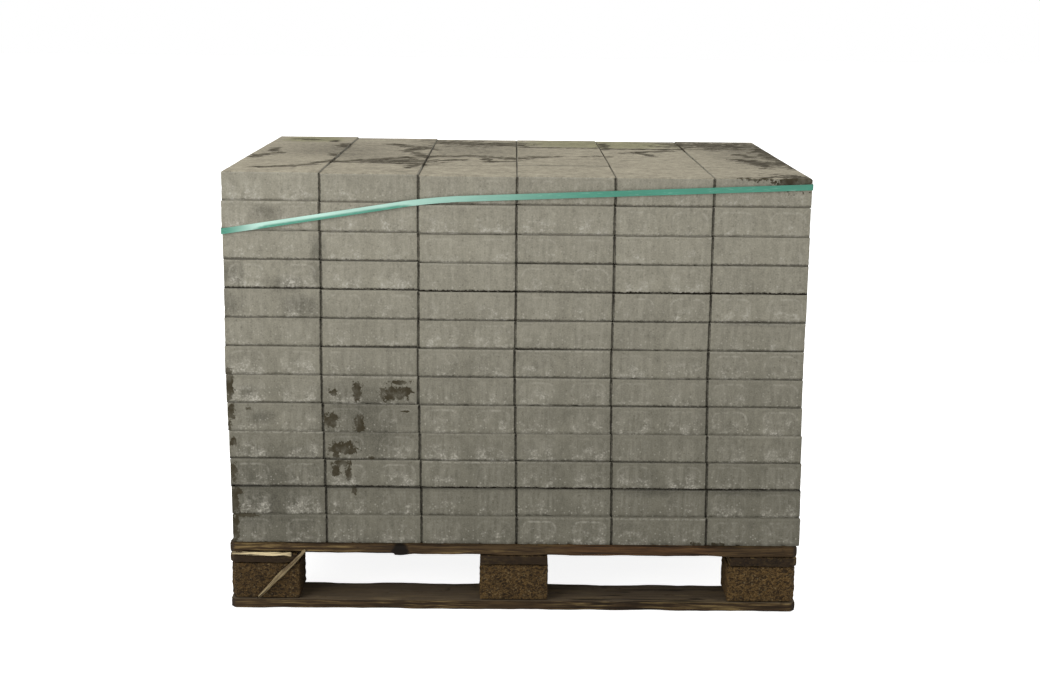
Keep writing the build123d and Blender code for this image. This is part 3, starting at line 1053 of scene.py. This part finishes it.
def wear_course(stack, low, high, worn, finish):
    """Makes a course uneven, raises its pads, wears and chips its arrises and closes its bottoms."""
    wave = cloud("face_wave", spread=0.05, depth=3)
    crumble = cloud("arris_crumble", spread=0.007, contrast=1.2)
    chips = cloud("arris_chips", spread=0.011, depth=1, contrast=5.0, brightness=0.0)
    gaps = cloud("bed_gaps", spread=0.09, depth=1, contrast=4.0)
    displace(stack, finish.wave, wave, "outer", level=1.0)
    displace(stack, finish.pad_rise, None, "pads")
    displace(stack, -finish.crumble * worn, crumble, "wear")
    displace(stack, -finish.chip, chips, "chips")
    displace(stack, -finish.crumble * worn, gaps, "wear")
    keep_within(stack, low, high, finish.pad_rise)
    edit(stack)
    bpy.ops.mesh.fill_holes(sides=0)
    bpy.ops.mesh.dissolve_degenerate(threshold=MERGE)
    close()


class PAVERPALLET_OT_pavers(bpy.types.Operator):
    """Models every course of pavers with worn arrises, uneven faces and raised pads"""

    bl_idname = "paver_pallet.pavers"
    bl_label = "Paver courses"

    def execute(self, context):
        finish = context.scene.paver_finish
        chance = random.Random(PAVER_SEED)
        boxes = {course: pavers_of(course) for course in COURSES}
        low, high = boxes[COURSES[0]][0]
        side, height = float(high[0] - low[0]), float(high[2] - low[2])
        shown = {"inner": [], "edge": [(1, -1)], "corner": [(1, -1), (0, -1)]}
        masters = {kind: model_paver(kind, side, height, faces, finish) for kind, faces in shown.items()}
        tops = {kind: model_paver("top_" + kind, side, height, faces + [(2, 1)], finish)
                for kind, faces in shown.items()}
        material = concrete_material(finish)
        for course, worn in zip(COURSES, JOINT_WEAR_AND_SHADE):
            kinds = tops if course == COURSES[-1] else masters
            course_low, course_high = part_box(course)
            copies = []
            for low, high in boxes[course]:
                kind, turns = quarter_turns(
                    left=low[0] - course_low.x < side / 2,
                    right=course_high.x - high[0] < side / 2,
                    front=low[1] - course_low.y < side / 2,
                    back=course_high.y - high[1] < side / 2,
                )
                paver = place_paver(kinds[kind], low, high, turns, height)
                rightward = (low[0] - STACK_LOW.x) / (STACK_HIGH.x - STACK_LOW.x)
                for trait, value in draw_traits(chance, rightward, worn).items():
                    store(paver, trait, np.full(len(paver.data.vertices), value))
                copies.append(paver)
            stack = joined(copies, course.replace("paver_course", "pavers"))
            wear_course(stack, course_low, course_high, worn, finish)
            places = points(stack)
            store(stack, "damp", np.maximum(field_of(DAMP_STAINS, places), streak_field(places)))
            store(stack, "cloud_and_shadow", field_of(DARK_CLOUDS_AND_SHADOWS, places))
            store(stack, "moss", field_of(MOSSY, places))
            complete(stack, material, "concrete", course)
        discard(*masters.values(), *tops.values())
        return {"FINISHED"}


# Timber

# Knot of the front deck board: place across, height above the board's foot, fullness and reach
KNOT_ACROSS = -0.241
KNOT_RISE = 0.004
KNOT_FULLNESS = 1.2
KNOT_REACH = (0.030, 0.030, 0.040)

# Fresh stretch of the front deck board: where it begins and ends across, and how it fades back and down
FRESH_BEGIN = (0.05, 0.16)
FRESH_END = (0.46, 0.38)
FRESH_BACK = (0.03, 0.01)
FRESH_DOWN = 0.01

# Dark tips of the long boards, painted shade of their rounded ends, in from the ends, and the fade above
# the wet bottom boards
DARK_TIPS = (0.016, 0.006)
WET_FOOT = 0.01

# Stretch of the boards' unevenness along and across the grain
GRAIN_ALONG = 0.30
GRAIN_ACROSS = 0.05

# Depth of the wood's fine relief, and of the pressed blocks'
WOOD_RELIEF = 0.0012
CHIP_RELIEF = 0.0018

# Distance from a block's top and bottom over which its roughness sets in
CHIP_SKIN = 0.004

# Lightness of a block in the middle of the pallet, and how much it gains towards the right end
BLOCK_LIGHT = 0.85
BLOCK_LIGHT_GAIN = 0.18

# Slivers: rounding, mesh spacing, stretch of their fibres, and swelling of the lying and the hanging one
SLIVER_ROUNDING = 0.0007
SLIVER_SPACING = (0.003, 0.0015, 0.002)
SLIVER_GRAIN = (0.05, 0.004, 0.004)
LYING_SWELL = 0.0012
HANGING_SWELL = 0.0034


def lay_deck_marks(nodes, place, streak, finish, wood):
    """Lays the fresh stretch of the front deck board and the dark tips of the boards, painted shade of
    their rounded ends, over a colour.
    """
    low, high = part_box("deck_board_front")
    x, y, z = nodes.parts(place)
    fresh = nodes.product(
        nodes.smooth(x, *FRESH_BEGIN),
        nodes.smooth(x, *FRESH_END),
        nodes.smooth(y, *(low.y + back for back in FRESH_BACK)),
        nodes.smooth(z, low.z - FRESH_DOWN, low.z),
        nodes.smooth(streak, 0.2, 0.6),
        0.7,
    )
    wood = nodes.mix(fresh, wood, finish.fresh)
    # Painted shade of the rounded ends of the long boards
    tips = nodes.smooth(nodes.absolute(x), *(high.x - inwards for inwards in DARK_TIPS))
    return nodes.mix(nodes.product(tips, 0.75), wood, finish.dark)


def timber_material(name, finish, turn, seed):
    """Wet weathered wood whose grain runs along X, or along Y after a quarter turn."""
    material, nodes, shader = new_material(name, specular=0.18)
    place = nodes.place()
    height = nodes.parts(place)[2]
    facing = nodes.facing()
    grain_place = nodes.add("Mapping", {"Vector": place, "Rotation": (0, 0, turn)}).outputs[0]
    grain = nodes.group(
        shared_group("timber_grain", timber_grain_group), {"Vector": grain_place, "Seed": seed}
    )
    streak = grain["Streak"]
    patch = nodes.noise(grain_place, (5, 14, 40), 3)
    wood = nodes.mix(nodes.smooth(streak, 0.38, 0.58), finish.dark, finish.brown)
    straw = nodes.product(nodes.smooth(streak, 0.49, 0.62), nodes.smooth(patch, 0.42, 0.58), 0.80)
    wood = nodes.mix(straw, wood, finish.straw)
    if not turn:
        wood = lay_deck_marks(nodes, place, streak, finish, wood)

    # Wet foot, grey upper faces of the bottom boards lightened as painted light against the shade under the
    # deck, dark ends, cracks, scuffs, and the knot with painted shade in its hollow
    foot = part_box(BLOCKS[0])[0].z
    light = nodes.swing(1.0, grain["Fibre"], 1.3)
    wet_foot = nodes.smooth(height, foot + WET_FOOT, foot)
    wood = nodes.brighten(wood, nodes.scaled(wet_foot, -0.14, light))
    upward = nodes.smooth(facing[2], 0.6, 0.9)
    # The grey upper faces under the deck carry painted light against the shade there
    sheltered = nodes.smooth(height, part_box(CROSS_BOARDS[0])[0].z, foot)
    end = nodes.smooth(nodes.absolute(facing[1 if turn else 0]), 0.5, 0.8)
    scuffs = nodes.smooth(nodes.noise(grain_place, (34, 60, 120), 4, 0.7), 0.60, 0.70)
    # The knot: dark knot wood, deepened with painted shade in its hollow
    knot = nodes.smooth(nodes.swing(nodes.kept("knot"), streak, 1.2), 0.30, 0.55)
    for share, layer in (
        (nodes.product(upward, sheltered, 0.7), nodes.brighten(finish.grey, light)),
        (nodes.product(end, 0.85), nodes.brighten(finish.dark, nodes.product(light, 0.75))),
        (nodes.product(grain["Crack"], 0.8), nodes.brighten(finish.dark, 0.35)),
        (nodes.product(scuffs, 0.6), nodes.brighten(finish.dark, 0.6)),
        (knot, nodes.brighten(finish.dark, 0.22)),
    ):
        wood = nodes.mix(share, wood, layer)

    nodes.feed(shader["Base Color"], wood)
    nodes.feed(shader["Roughness"], nodes.scaled(streak, 0.25, 0.60))
    relief = nodes.scaled(grain["Crack"], -1.5, grain["Fibre"])
    nodes.feed(shader["Normal"], nodes.bump(relief, 0.6, WOOD_RELIEF))
    return material


def model_timber(node, finish, turn, knot=None):
    """A worn board from a piece of the frame, with its grain along X, or along Y after a quarter turn."""
    low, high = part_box(node)
    along, across = (1, 0) if turn else (0, 1)
    spacings = {along: finish.spacing, across: finish.spacing_across, 2: finish.spacing_up}
    board = diced_copy(node, node.replace("_board", "_timber"), finish.rounding, spacings)
    places = points(board)
    weigh(board, "arris", near_arris(places, low, high, finish.wear_reach))
    hollow = np.zeros(len(places))
    if knot:
        gap = np.linalg.norm((places - np.array(knot)) / np.array(KNOT_REACH), axis=1)
        hollow = np.clip(KNOT_FULLNESS * (1 - gap), 0, 1)
    weigh(board, "hollow", hollow)
    store(board, "knot", hollow)
    stretch = Vector((GRAIN_ACROSS, GRAIN_ACROSS, GRAIN_ACROSS))
    stretch[along] = GRAIN_ALONG
    space = stretched_space(stretch)
    ripple = cloud("board_ripple", spread=0.5, depth=3)
    wear = cloud("board_wear", spread=0.35, depth=3, contrast=2.2, brightness=0.7)
    displace(board, finish.ripple, ripple, level=1.0, space=space)
    displace(board, -finish.wear, wear, "arris", space=space)
    displace(board, -finish.knot_depth, None, "hollow", direction="Z")
    discard(space)
    return board


class PAVERPALLET_OT_long_boards(bpy.types.Operator):
    """Models the deck and bottom boards that run along the pallet"""

    bl_idname = "paver_pallet.long_boards"
    bl_label = "Deck and bottom boards"

    def execute(self, context):
        finish = context.scene.timber_finish
        material = timber_material("wet_long_timber", finish, turn=0.0, seed=3.0)
        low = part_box("deck_board_front")[0]
        knots = {"deck_board_front": (KNOT_ACROSS, low.y, low.z + KNOT_RISE)}
        for node in LONG_BOARDS:
            complete(model_timber(node, finish, 0.0, knots.get(node)), material, "pallet_wood", node)
        return {"FINISHED"}


class PAVERPALLET_OT_cross_boards(bpy.types.Operator):
    """Models the boards across the pallet, under the deck"""

    bl_idname = "paver_pallet.cross_boards"
    bl_label = "Cross boards"

    def execute(self, context):
        finish = context.scene.timber_finish
        quarter_turn = math.pi / 2
        material = timber_material("wet_cross_timber", finish, quarter_turn, seed=7.0)
        for node in CROSS_BOARDS:
            complete(model_timber(node, finish, quarter_turn), material, "pallet_wood", node)
        return {"FINISHED"}


def chip_material(finish):
    """Pressed wood chips: tan, brown and dark flakes with pale specks."""
    material, nodes, shader = new_material("pressed_chips", specular=0.2, roughness=0.85)
    place = nodes.place()
    warp = nodes.product(nodes.noise(place, 45), 0.02)
    bent = nodes.add("VectorMath", {0: place, 1: warp}, operation="ADD").outputs[0]
    coarse = nodes.cells(bent, (215, 215, 360))[1]
    distance, fine = nodes.cells(bent, (420, 420, 600))
    grit = nodes.group(shared_group("grit", grit_group), {"Vector": place, "Scale": 300.0})
    chips = nodes.mix(nodes.smooth(coarse, 0.15, 0.75), finish.flake_dark, finish.chip)
    chips = nodes.mix(nodes.product(nodes.smooth(fine, 0.62, 0.95), 0.6), chips, finish.flake)
    chips = nodes.mix(nodes.product(nodes.smooth(fine, 0.22, 0.05), 0.6), chips, finish.flake_dark)
    chips = nodes.mix(nodes.product(grit["Pale"], 0.10), chips, finish.raw)
    light = nodes.swing(nodes.kept("shade"), nodes.noise(place, (60, 60, 30), 3, 0.6), 0.9)
    light = nodes.swing(light, grit["Grain"], 0.8)
    nodes.feed(shader["Base Color"], nodes.brighten(chips, light))
    relief = nodes.scaled(distance, -0.6, nodes.product(coarse, 0.7))
    nodes.feed(shader["Normal"], nodes.bump(relief, 0.8, CHIP_RELIEF))
    return material


class PAVERPALLET_OT_blocks(bpy.types.Operator):
    """Models the nine rough blocks of pressed chips"""

    bl_idname = "paver_pallet.blocks"
    bl_label = "Blocks"

    def execute(self, context):
        finish = context.scene.timber_finish
        material = chip_material(finish)
        rough = cloud("chip_rough", spread=0.007, contrast=1.5)
        lumps = cloud("chip_lumps", spread=0.03)
        for node in BLOCKS:
            low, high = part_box(node)
            block = diced_copy(
                node, node.replace("block", "chip_block"), finish.rounding,
                dict.fromkeys(range(3), finish.chip_spacing), lambda normal: abs(normal.z) < MOSTLY,
            )
            places = points(block)
            weigh(block, "arris", near_arris(places, low, high, finish.chip_reach))
            weigh(block, "sides", np.minimum(places[:, 2] - low.z, high.z - places[:, 2]) / CHIP_SKIN)
            displace(block, -finish.chip_rough, rough, "sides", level=0.4)
            displace(block, -finish.chip_rough, lumps, "arris", level=0.1)
            rightward = (low.x + high.x) / (CAD_BOX[1].x - CAD_BOX[0].x)
            shade = BLOCK_LIGHT + BLOCK_LIGHT_GAIN * rightward
            store(block, "shade", np.full(len(block.data.vertices), shade))
            complete(block, material, "chip_block", node)
        return {"FINISHED"}


def raw_wood_material(name, finish, colour, slope):
    """Freshly split wood whose fibres run at a slope in the front plane."""
    material, nodes, shader = new_material(name, specular=0.3, roughness=0.75)
    place = nodes.add("Mapping", {"Vector": nodes.place(), "Rotation": (0, slope, 0)}).outputs[0]
    grain = nodes.group(shared_group("timber_grain", timber_grain_group), {"Vector": place, "Seed": 1.3})
    wood = nodes.mix(nodes.smooth(grain["Fibre"], 0.32, 0.56), finish.brown, colour)
    wood = nodes.mix(nodes.smooth(grain["Streak"], 0.48, 0.40), wood, nodes.brighten(finish.dark, 0.8))
    nodes.feed(shader["Base Color"], wood)
    nodes.feed(shader["Normal"], nodes.bump(grain["Fibre"], 0.7, WOOD_RELIEF))
    return material


class PAVERPALLET_OT_splinters(bpy.types.Operator):
    """Models the two slivers split from the front deck board"""

    bl_idname = "paver_pallet.splinters"
    bl_label = "Splinters"

    def execute(self, context):
        finish = context.scene.timber_finish
        for node in SPLINTERS:
            low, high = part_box(node)
            slope = math.atan2(high.z - low.z, high.x - low.x)
            name = node.replace("splinter", "sliver")
            sliver = diced_copy(node, name, SLIVER_ROUNDING, dict(enumerate(SLIVER_SPACING)))
            space = stretched_space(SLIVER_GRAIN)
            space.rotation_euler.y = -slope
            bpy.context.view_layer.update()
            lying = high.x - low.x > high.z - low.z + finish.spacing
            # The lying splinter's pale colour is partly a painted highlight
            swelling, colour = (LYING_SWELL, finish.raw) if lying else (HANGING_SWELL, finish.dull)
            displace(sliver, swelling, cloud("sliver_fibres", spread=0.7), space=space)
            discard(space)
            complete(sliver, raw_wood_material("raw_wood_" + node, finish, colour, slope), "raw_wood", node)
        return {"FINISHED"}


# Strap and nails

# Slack left stretch of the strap: where its painted sky sheen begins and ends across, and the depth of the
# front
PALE_BEGIN = (-0.60, -0.52)
PALE_END = (0.20, -0.36)
PALE_BACK = 0.03

# Where the lean of the slack stretch begins, is full, falls again and ends across
LEAN_PLACES = (-0.56, -0.51, -0.24, -0.18)

# Depth of the strap's front, width of a column of its mesh, and height of the part that leans
STRAP_FRONT = 0.003
STRAP_COLUMN = 0.002
LEAN_HEIGHT = 0.010

# Ribs of the strap: radians of their wave a metre, and depth
RIB_PHASE = 2600.0
RIB_DEPTH = 0.0003

# Nail heads: radius, thickness, width of the rim, height of the crown, and places on a block as shares
NAIL_RADIUS = 0.0045
NAIL_THICKNESS = 0.0012
NAIL_RIM = 0.0012
NAIL_CROWN = 0.0002
NAIL_SHARES = ((-0.28, -0.25), (0.28, -0.25), (0.0, 0.28))


def strap_material(finish):
    """Satin strap plastic with fine crossed ribs, and a painted sheen of the sky on its slack left stretch.
    """
    material, nodes, shader = new_material("strap_plastic", specular=0.5)
    place = nodes.place()
    x, y, z = nodes.parts(place)
    front = nodes.smooth(y, STACK_LOW.y + PALE_BACK, STACK_LOW.y)
    slack = nodes.product(front, nodes.smooth(x, *PALE_END), nodes.smooth(x, *PALE_BEGIN))
    patch = nodes.noise(place, (9, 9, 60), 3)
    # Painted sheen of the sky on the upper part of the leaning slack stretch
    sheen = nodes.smooth(nodes.kept("lower_edge"), 0.75, 0.35)
    plastic = nodes.mix(nodes.product(slack, sheen, 0.85), finish.colour, finish.pale)
    plastic = nodes.brighten(plastic, nodes.scaled(patch, 0.5, 0.75))
    scuff = nodes.smooth(nodes.noise(place, (60, 60, 400), 3), 0.58, 0.72)
    plastic = nodes.mix(nodes.product(scuff, 0.15), plastic, finish.pale)
    around = nodes.math("ADD", x, y)
    slopes = (nodes.math("ADD", around, z), nodes.minus(around, z))
    ribs = [nodes.math("SINE", nodes.product(slope, RIB_PHASE)) for slope in slopes]
    nodes.feed(shader["Base Color"], plastic)
    nodes.feed(shader["Roughness"], nodes.scaled(scuff, 0.3, 0.40))
    nodes.feed(shader["Normal"], nodes.bump(nodes.product(*ribs), 0.25, RIB_DEPTH))
    return material


def strap_lean(places, low):
    """Weights of the lower edge of the slack stretch at the front left."""
    along = np.interp(places[:, 0], LEAN_PLACES, (0, 1, 1, 0))
    front = places[:, 1] < low.y + STRAP_FRONT
    weights = np.zeros(len(places))
    for spot in np.flatnonzero(front & (along > 0)):
        column = front & (np.abs(places[:, 0] - places[spot, 0]) < STRAP_COLUMN)
        rise = places[spot, 2] - places[column, 2].min()
        weights[spot] = along[spot] * np.clip(1 - rise / LEAN_HEIGHT, 0, 1)
    return weights


class PAVERPALLET_OT_strap(bpy.types.Operator):
    """Models the strap, with the slack left stretch leaning off the stack"""

    bl_idname = "paver_pallet.strap"
    bl_label = "Strap"

    def execute(self, context):
        finish = context.scene.strap_finish
        band = diced_copy("strap", "strap_band", None, {0: finish.spacing, 1: finish.spacing})
        lean = strap_lean(points(band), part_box("strap")[0])
        weigh(band, "lean", lean)
        store(band, "lower_edge", lean)
        displace(band, -finish.lean, None, "lean", direction="Y")
        complete(band, strap_material(finish), "strap_plastic", "strap")
        return {"FINISHED"}


def nail_material():
    """Dull steel with spots of rust."""
    material, nodes, shader = new_material("dull_nail_steel", specular=0.5)
    spots = nodes.noise(nodes.place(), 900, 3)
    rust = nodes.mix(nodes.smooth(spots, 0.45, 0.62), screen(92, 90, 86), screen(92, 52, 28))
    nodes.feed(shader["Base Color"], rust)
    nodes.feed(shader["Roughness"], nodes.scaled(spots, 0.4, 0.4))
    shader["Metallic"].default_value = 0.6
    return material


class PAVERPALLET_OT_nails(bpy.types.Operator):
    """Models the nail heads under the bottom boards, three to each block"""

    bl_idname = "paver_pallet.nails"
    bl_label = "Nail heads"

    def execute(self, context):
        bpy.ops.object.select_all(action="DESELECT")
        bpy.ops.mesh.primitive_cylinder_add(vertices=10, radius=NAIL_RADIUS, depth=NAIL_THICKNESS)
        master = context.object
        edit(master)
        select_faces(master, lambda normal: normal.z < -MOSTLY)
        bpy.ops.mesh.inset(thickness=NAIL_RIM)
        bpy.ops.transform.translate(value=(0, 0, -NAIL_CROWN))
        close()
        heads = []
        for node in BLOCKS:
            low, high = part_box(node)
            middle = (low + high) / 2
            for across, back in NAIL_SHARES:
                head = copy_of(master, "nail_head")
                head.location.x = middle.x + across * (high.x - low.x)
                head.location.y = middle.y + back * (high.y - low.y)
                head.location.z = CAD_BOX[0].z + NAIL_THICKNESS / 2
                heads.append(head)
        discard(master)
        complete(joined(heads, "nail_heads"), nail_material(), None)
        return {"FINISHED"}


# Stage

# Width of the floor and its drop below the pallet
FLOOR_WIDTH = 60.0
FLOOR_DROP = 0.0005

# Places and widths of the two soft lights, and width of the camera's sensor in millimetres
FRONT_LIGHT = ((-2.9, -2.4, 2.2), 2.4)
TOP_LIGHT = ((0.4, 0.2, 4.2), 3.0)
SENSOR_WIDTH = 36.0


def soft_light(name, place, width, power):
    """A large square light aimed at the middle of the object."""
    lamp = bpy.data.lights.new(name, "AREA")
    lamp.size = width
    lamp.energy = power
    light = bpy.data.objects.new(name, lamp)
    bpy.context.scene.collection.objects.link(light)
    light.location = place
    middle = (CAD_BOX[0] + CAD_BOX[1]) / 2
    light.rotation_euler = (middle - Vector(place)).to_track_quat("-Z", "Y").to_euler()


def lay_floor(studio):
    """A pale floor that looks almost white to the camera and keeps the object's shadow."""
    bpy.ops.object.select_all(action="DESELECT")
    bpy.ops.mesh.primitive_plane_add(size=FLOOR_WIDTH, location=(0, 0, CAD_BOX[0].z - FLOOR_DROP))
    floor = bpy.context.object
    floor.name = "floor"
    bpy.ops.object.transform_apply(location=True, rotation=True, scale=True)
    material, nodes, shader = new_material("pale_floor", specular=0.1, roughness=0.9)
    shader["Base Color"].default_value = (*studio.floor, 1.0)
    shader["Emission Color"].default_value = (1.0, 1.0, 1.0, 1.0)
    seen = nodes.add("LightPath").outputs["Is Camera Ray"]
    nodes.feed(shader["Emission Strength"], nodes.product(seen, studio.glow))
    floor.data.materials.append(material)


def even_sky(strength):
    """A world of even light that looks white to the camera and in reflections."""
    world = bpy.data.worlds.new("even_sky")
    world.use_nodes = True
    world.node_tree.nodes.clear()
    nodes = Nodes(world.node_tree)
    ray = nodes.add("LightPath").outputs
    seen = nodes.math("MAXIMUM", ray["Is Camera Ray"], ray["Is Glossy Ray"])
    seen = nodes.math("MAXIMUM", seen, ray["Is Transmission Ray"])
    brightness = nodes.scaled(seen, 1 - strength, strength)
    back = nodes.add("Background", {"Color": (1, 1, 1, 1), "Strength": brightness})
    nodes.add("OutputWorld", {"Surface": back.outputs[0]})
    return world


def photo_camera(studio):
    """The camera, from about the photograph's place and angle."""
    camera = bpy.data.cameras.new("photo_camera")
    camera.lens = studio.lens
    camera.sensor_width = SENSOR_WIDTH
    camera.shift_y = studio.rise
    viewer = bpy.data.objects.new("photo_camera", camera)
    bpy.context.scene.collection.objects.link(viewer)
    pitch, roll, yaw = studio.aim
    level = Matrix.Rotation(yaw, 4, "Z") @ Matrix.Rotation(math.pi / 2 + pitch, 4, "X")
    viewer.matrix_world = Matrix.Translation(studio.eye) @ level @ Matrix.Rotation(roll, 4, "Z")
    return viewer


class PAVERPALLET_OT_stage(bpy.types.Operator):
    """Sets the pale floor, the soft light and the camera"""

    bl_idname = "paver_pallet.stage"
    bl_label = "Stage"

    def execute(self, context):
        scene = context.scene
        studio = scene.studio
        lay_floor(studio)
        scene.world = even_sky(studio.sky)
        soft_light("front_light", *FRONT_LIGHT, studio.key)
        soft_light("top_light", *TOP_LIGHT, studio.top)
        scene.camera = photo_camera(studio)
        scene.view_settings.view_transform = "Standard"
        return {"FINISHED"}


class PAVERPALLET_PT_sidebar(bpy.types.Panel):
    """Sidebar with the steps and the sizes and colours they use"""

    bl_idname = "PAVERPALLET_PT_sidebar"
    bl_label = "Paver Pallet"
    bl_space_type = "VIEW_3D"
    bl_region_type = "UI"
    bl_category = "Paver Pallet"

    def draw(self, context):
        for step in STEPS:
            self.layout.operator(step.bl_idname)
        for group in SETTINGS:
            box = self.layout.box()
            settings = getattr(context.scene, group)
            for name in settings.__annotations__:
                box.prop(settings, name)


STEPS = (
    PAVERPALLET_OT_pavers,
    PAVERPALLET_OT_long_boards,
    PAVERPALLET_OT_cross_boards,
    PAVERPALLET_OT_blocks,
    PAVERPALLET_OT_splinters,
    PAVERPALLET_OT_strap,
    PAVERPALLET_OT_nails,
    PAVERPALLET_OT_stage,
)
SETTINGS = {
    "paver_finish": PaverFinish,
    "timber_finish": TimberFinish,
    "strap_finish": StrapFinish,
    "studio": StudioSettings,
}
CLASSES = (*SETTINGS.values(), *STEPS, PAVERPALLET_PT_sidebar)


def register():
    """Makes the steps, the settings and the sidebar known."""
    for kind in CLASSES:
        bpy.utils.register_class(kind)
    for name, kind in SETTINGS.items():
        setattr(bpy.types.Scene, name, PointerProperty(type=kind))


def unregister():
    """Takes the steps, the settings and the sidebar away."""
    for name in SETTINGS:
        delattr(bpy.types.Scene, name)
    for kind in reversed(CLASSES):
        bpy.utils.unregister_class(kind)


def main():
    """Runs every step in order."""
    register()
    bpy.ops.paver_pallet.pavers()
    bpy.ops.paver_pallet.long_boards()
    bpy.ops.paver_pallet.cross_boards()
    bpy.ops.paver_pallet.blocks()
    bpy.ops.paver_pallet.splinters()
    bpy.ops.paver_pallet.strap()
    bpy.ops.paver_pallet.nails()
    bpy.ops.paver_pallet.stage()
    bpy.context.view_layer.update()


if __name__ == "__main__":
    main()
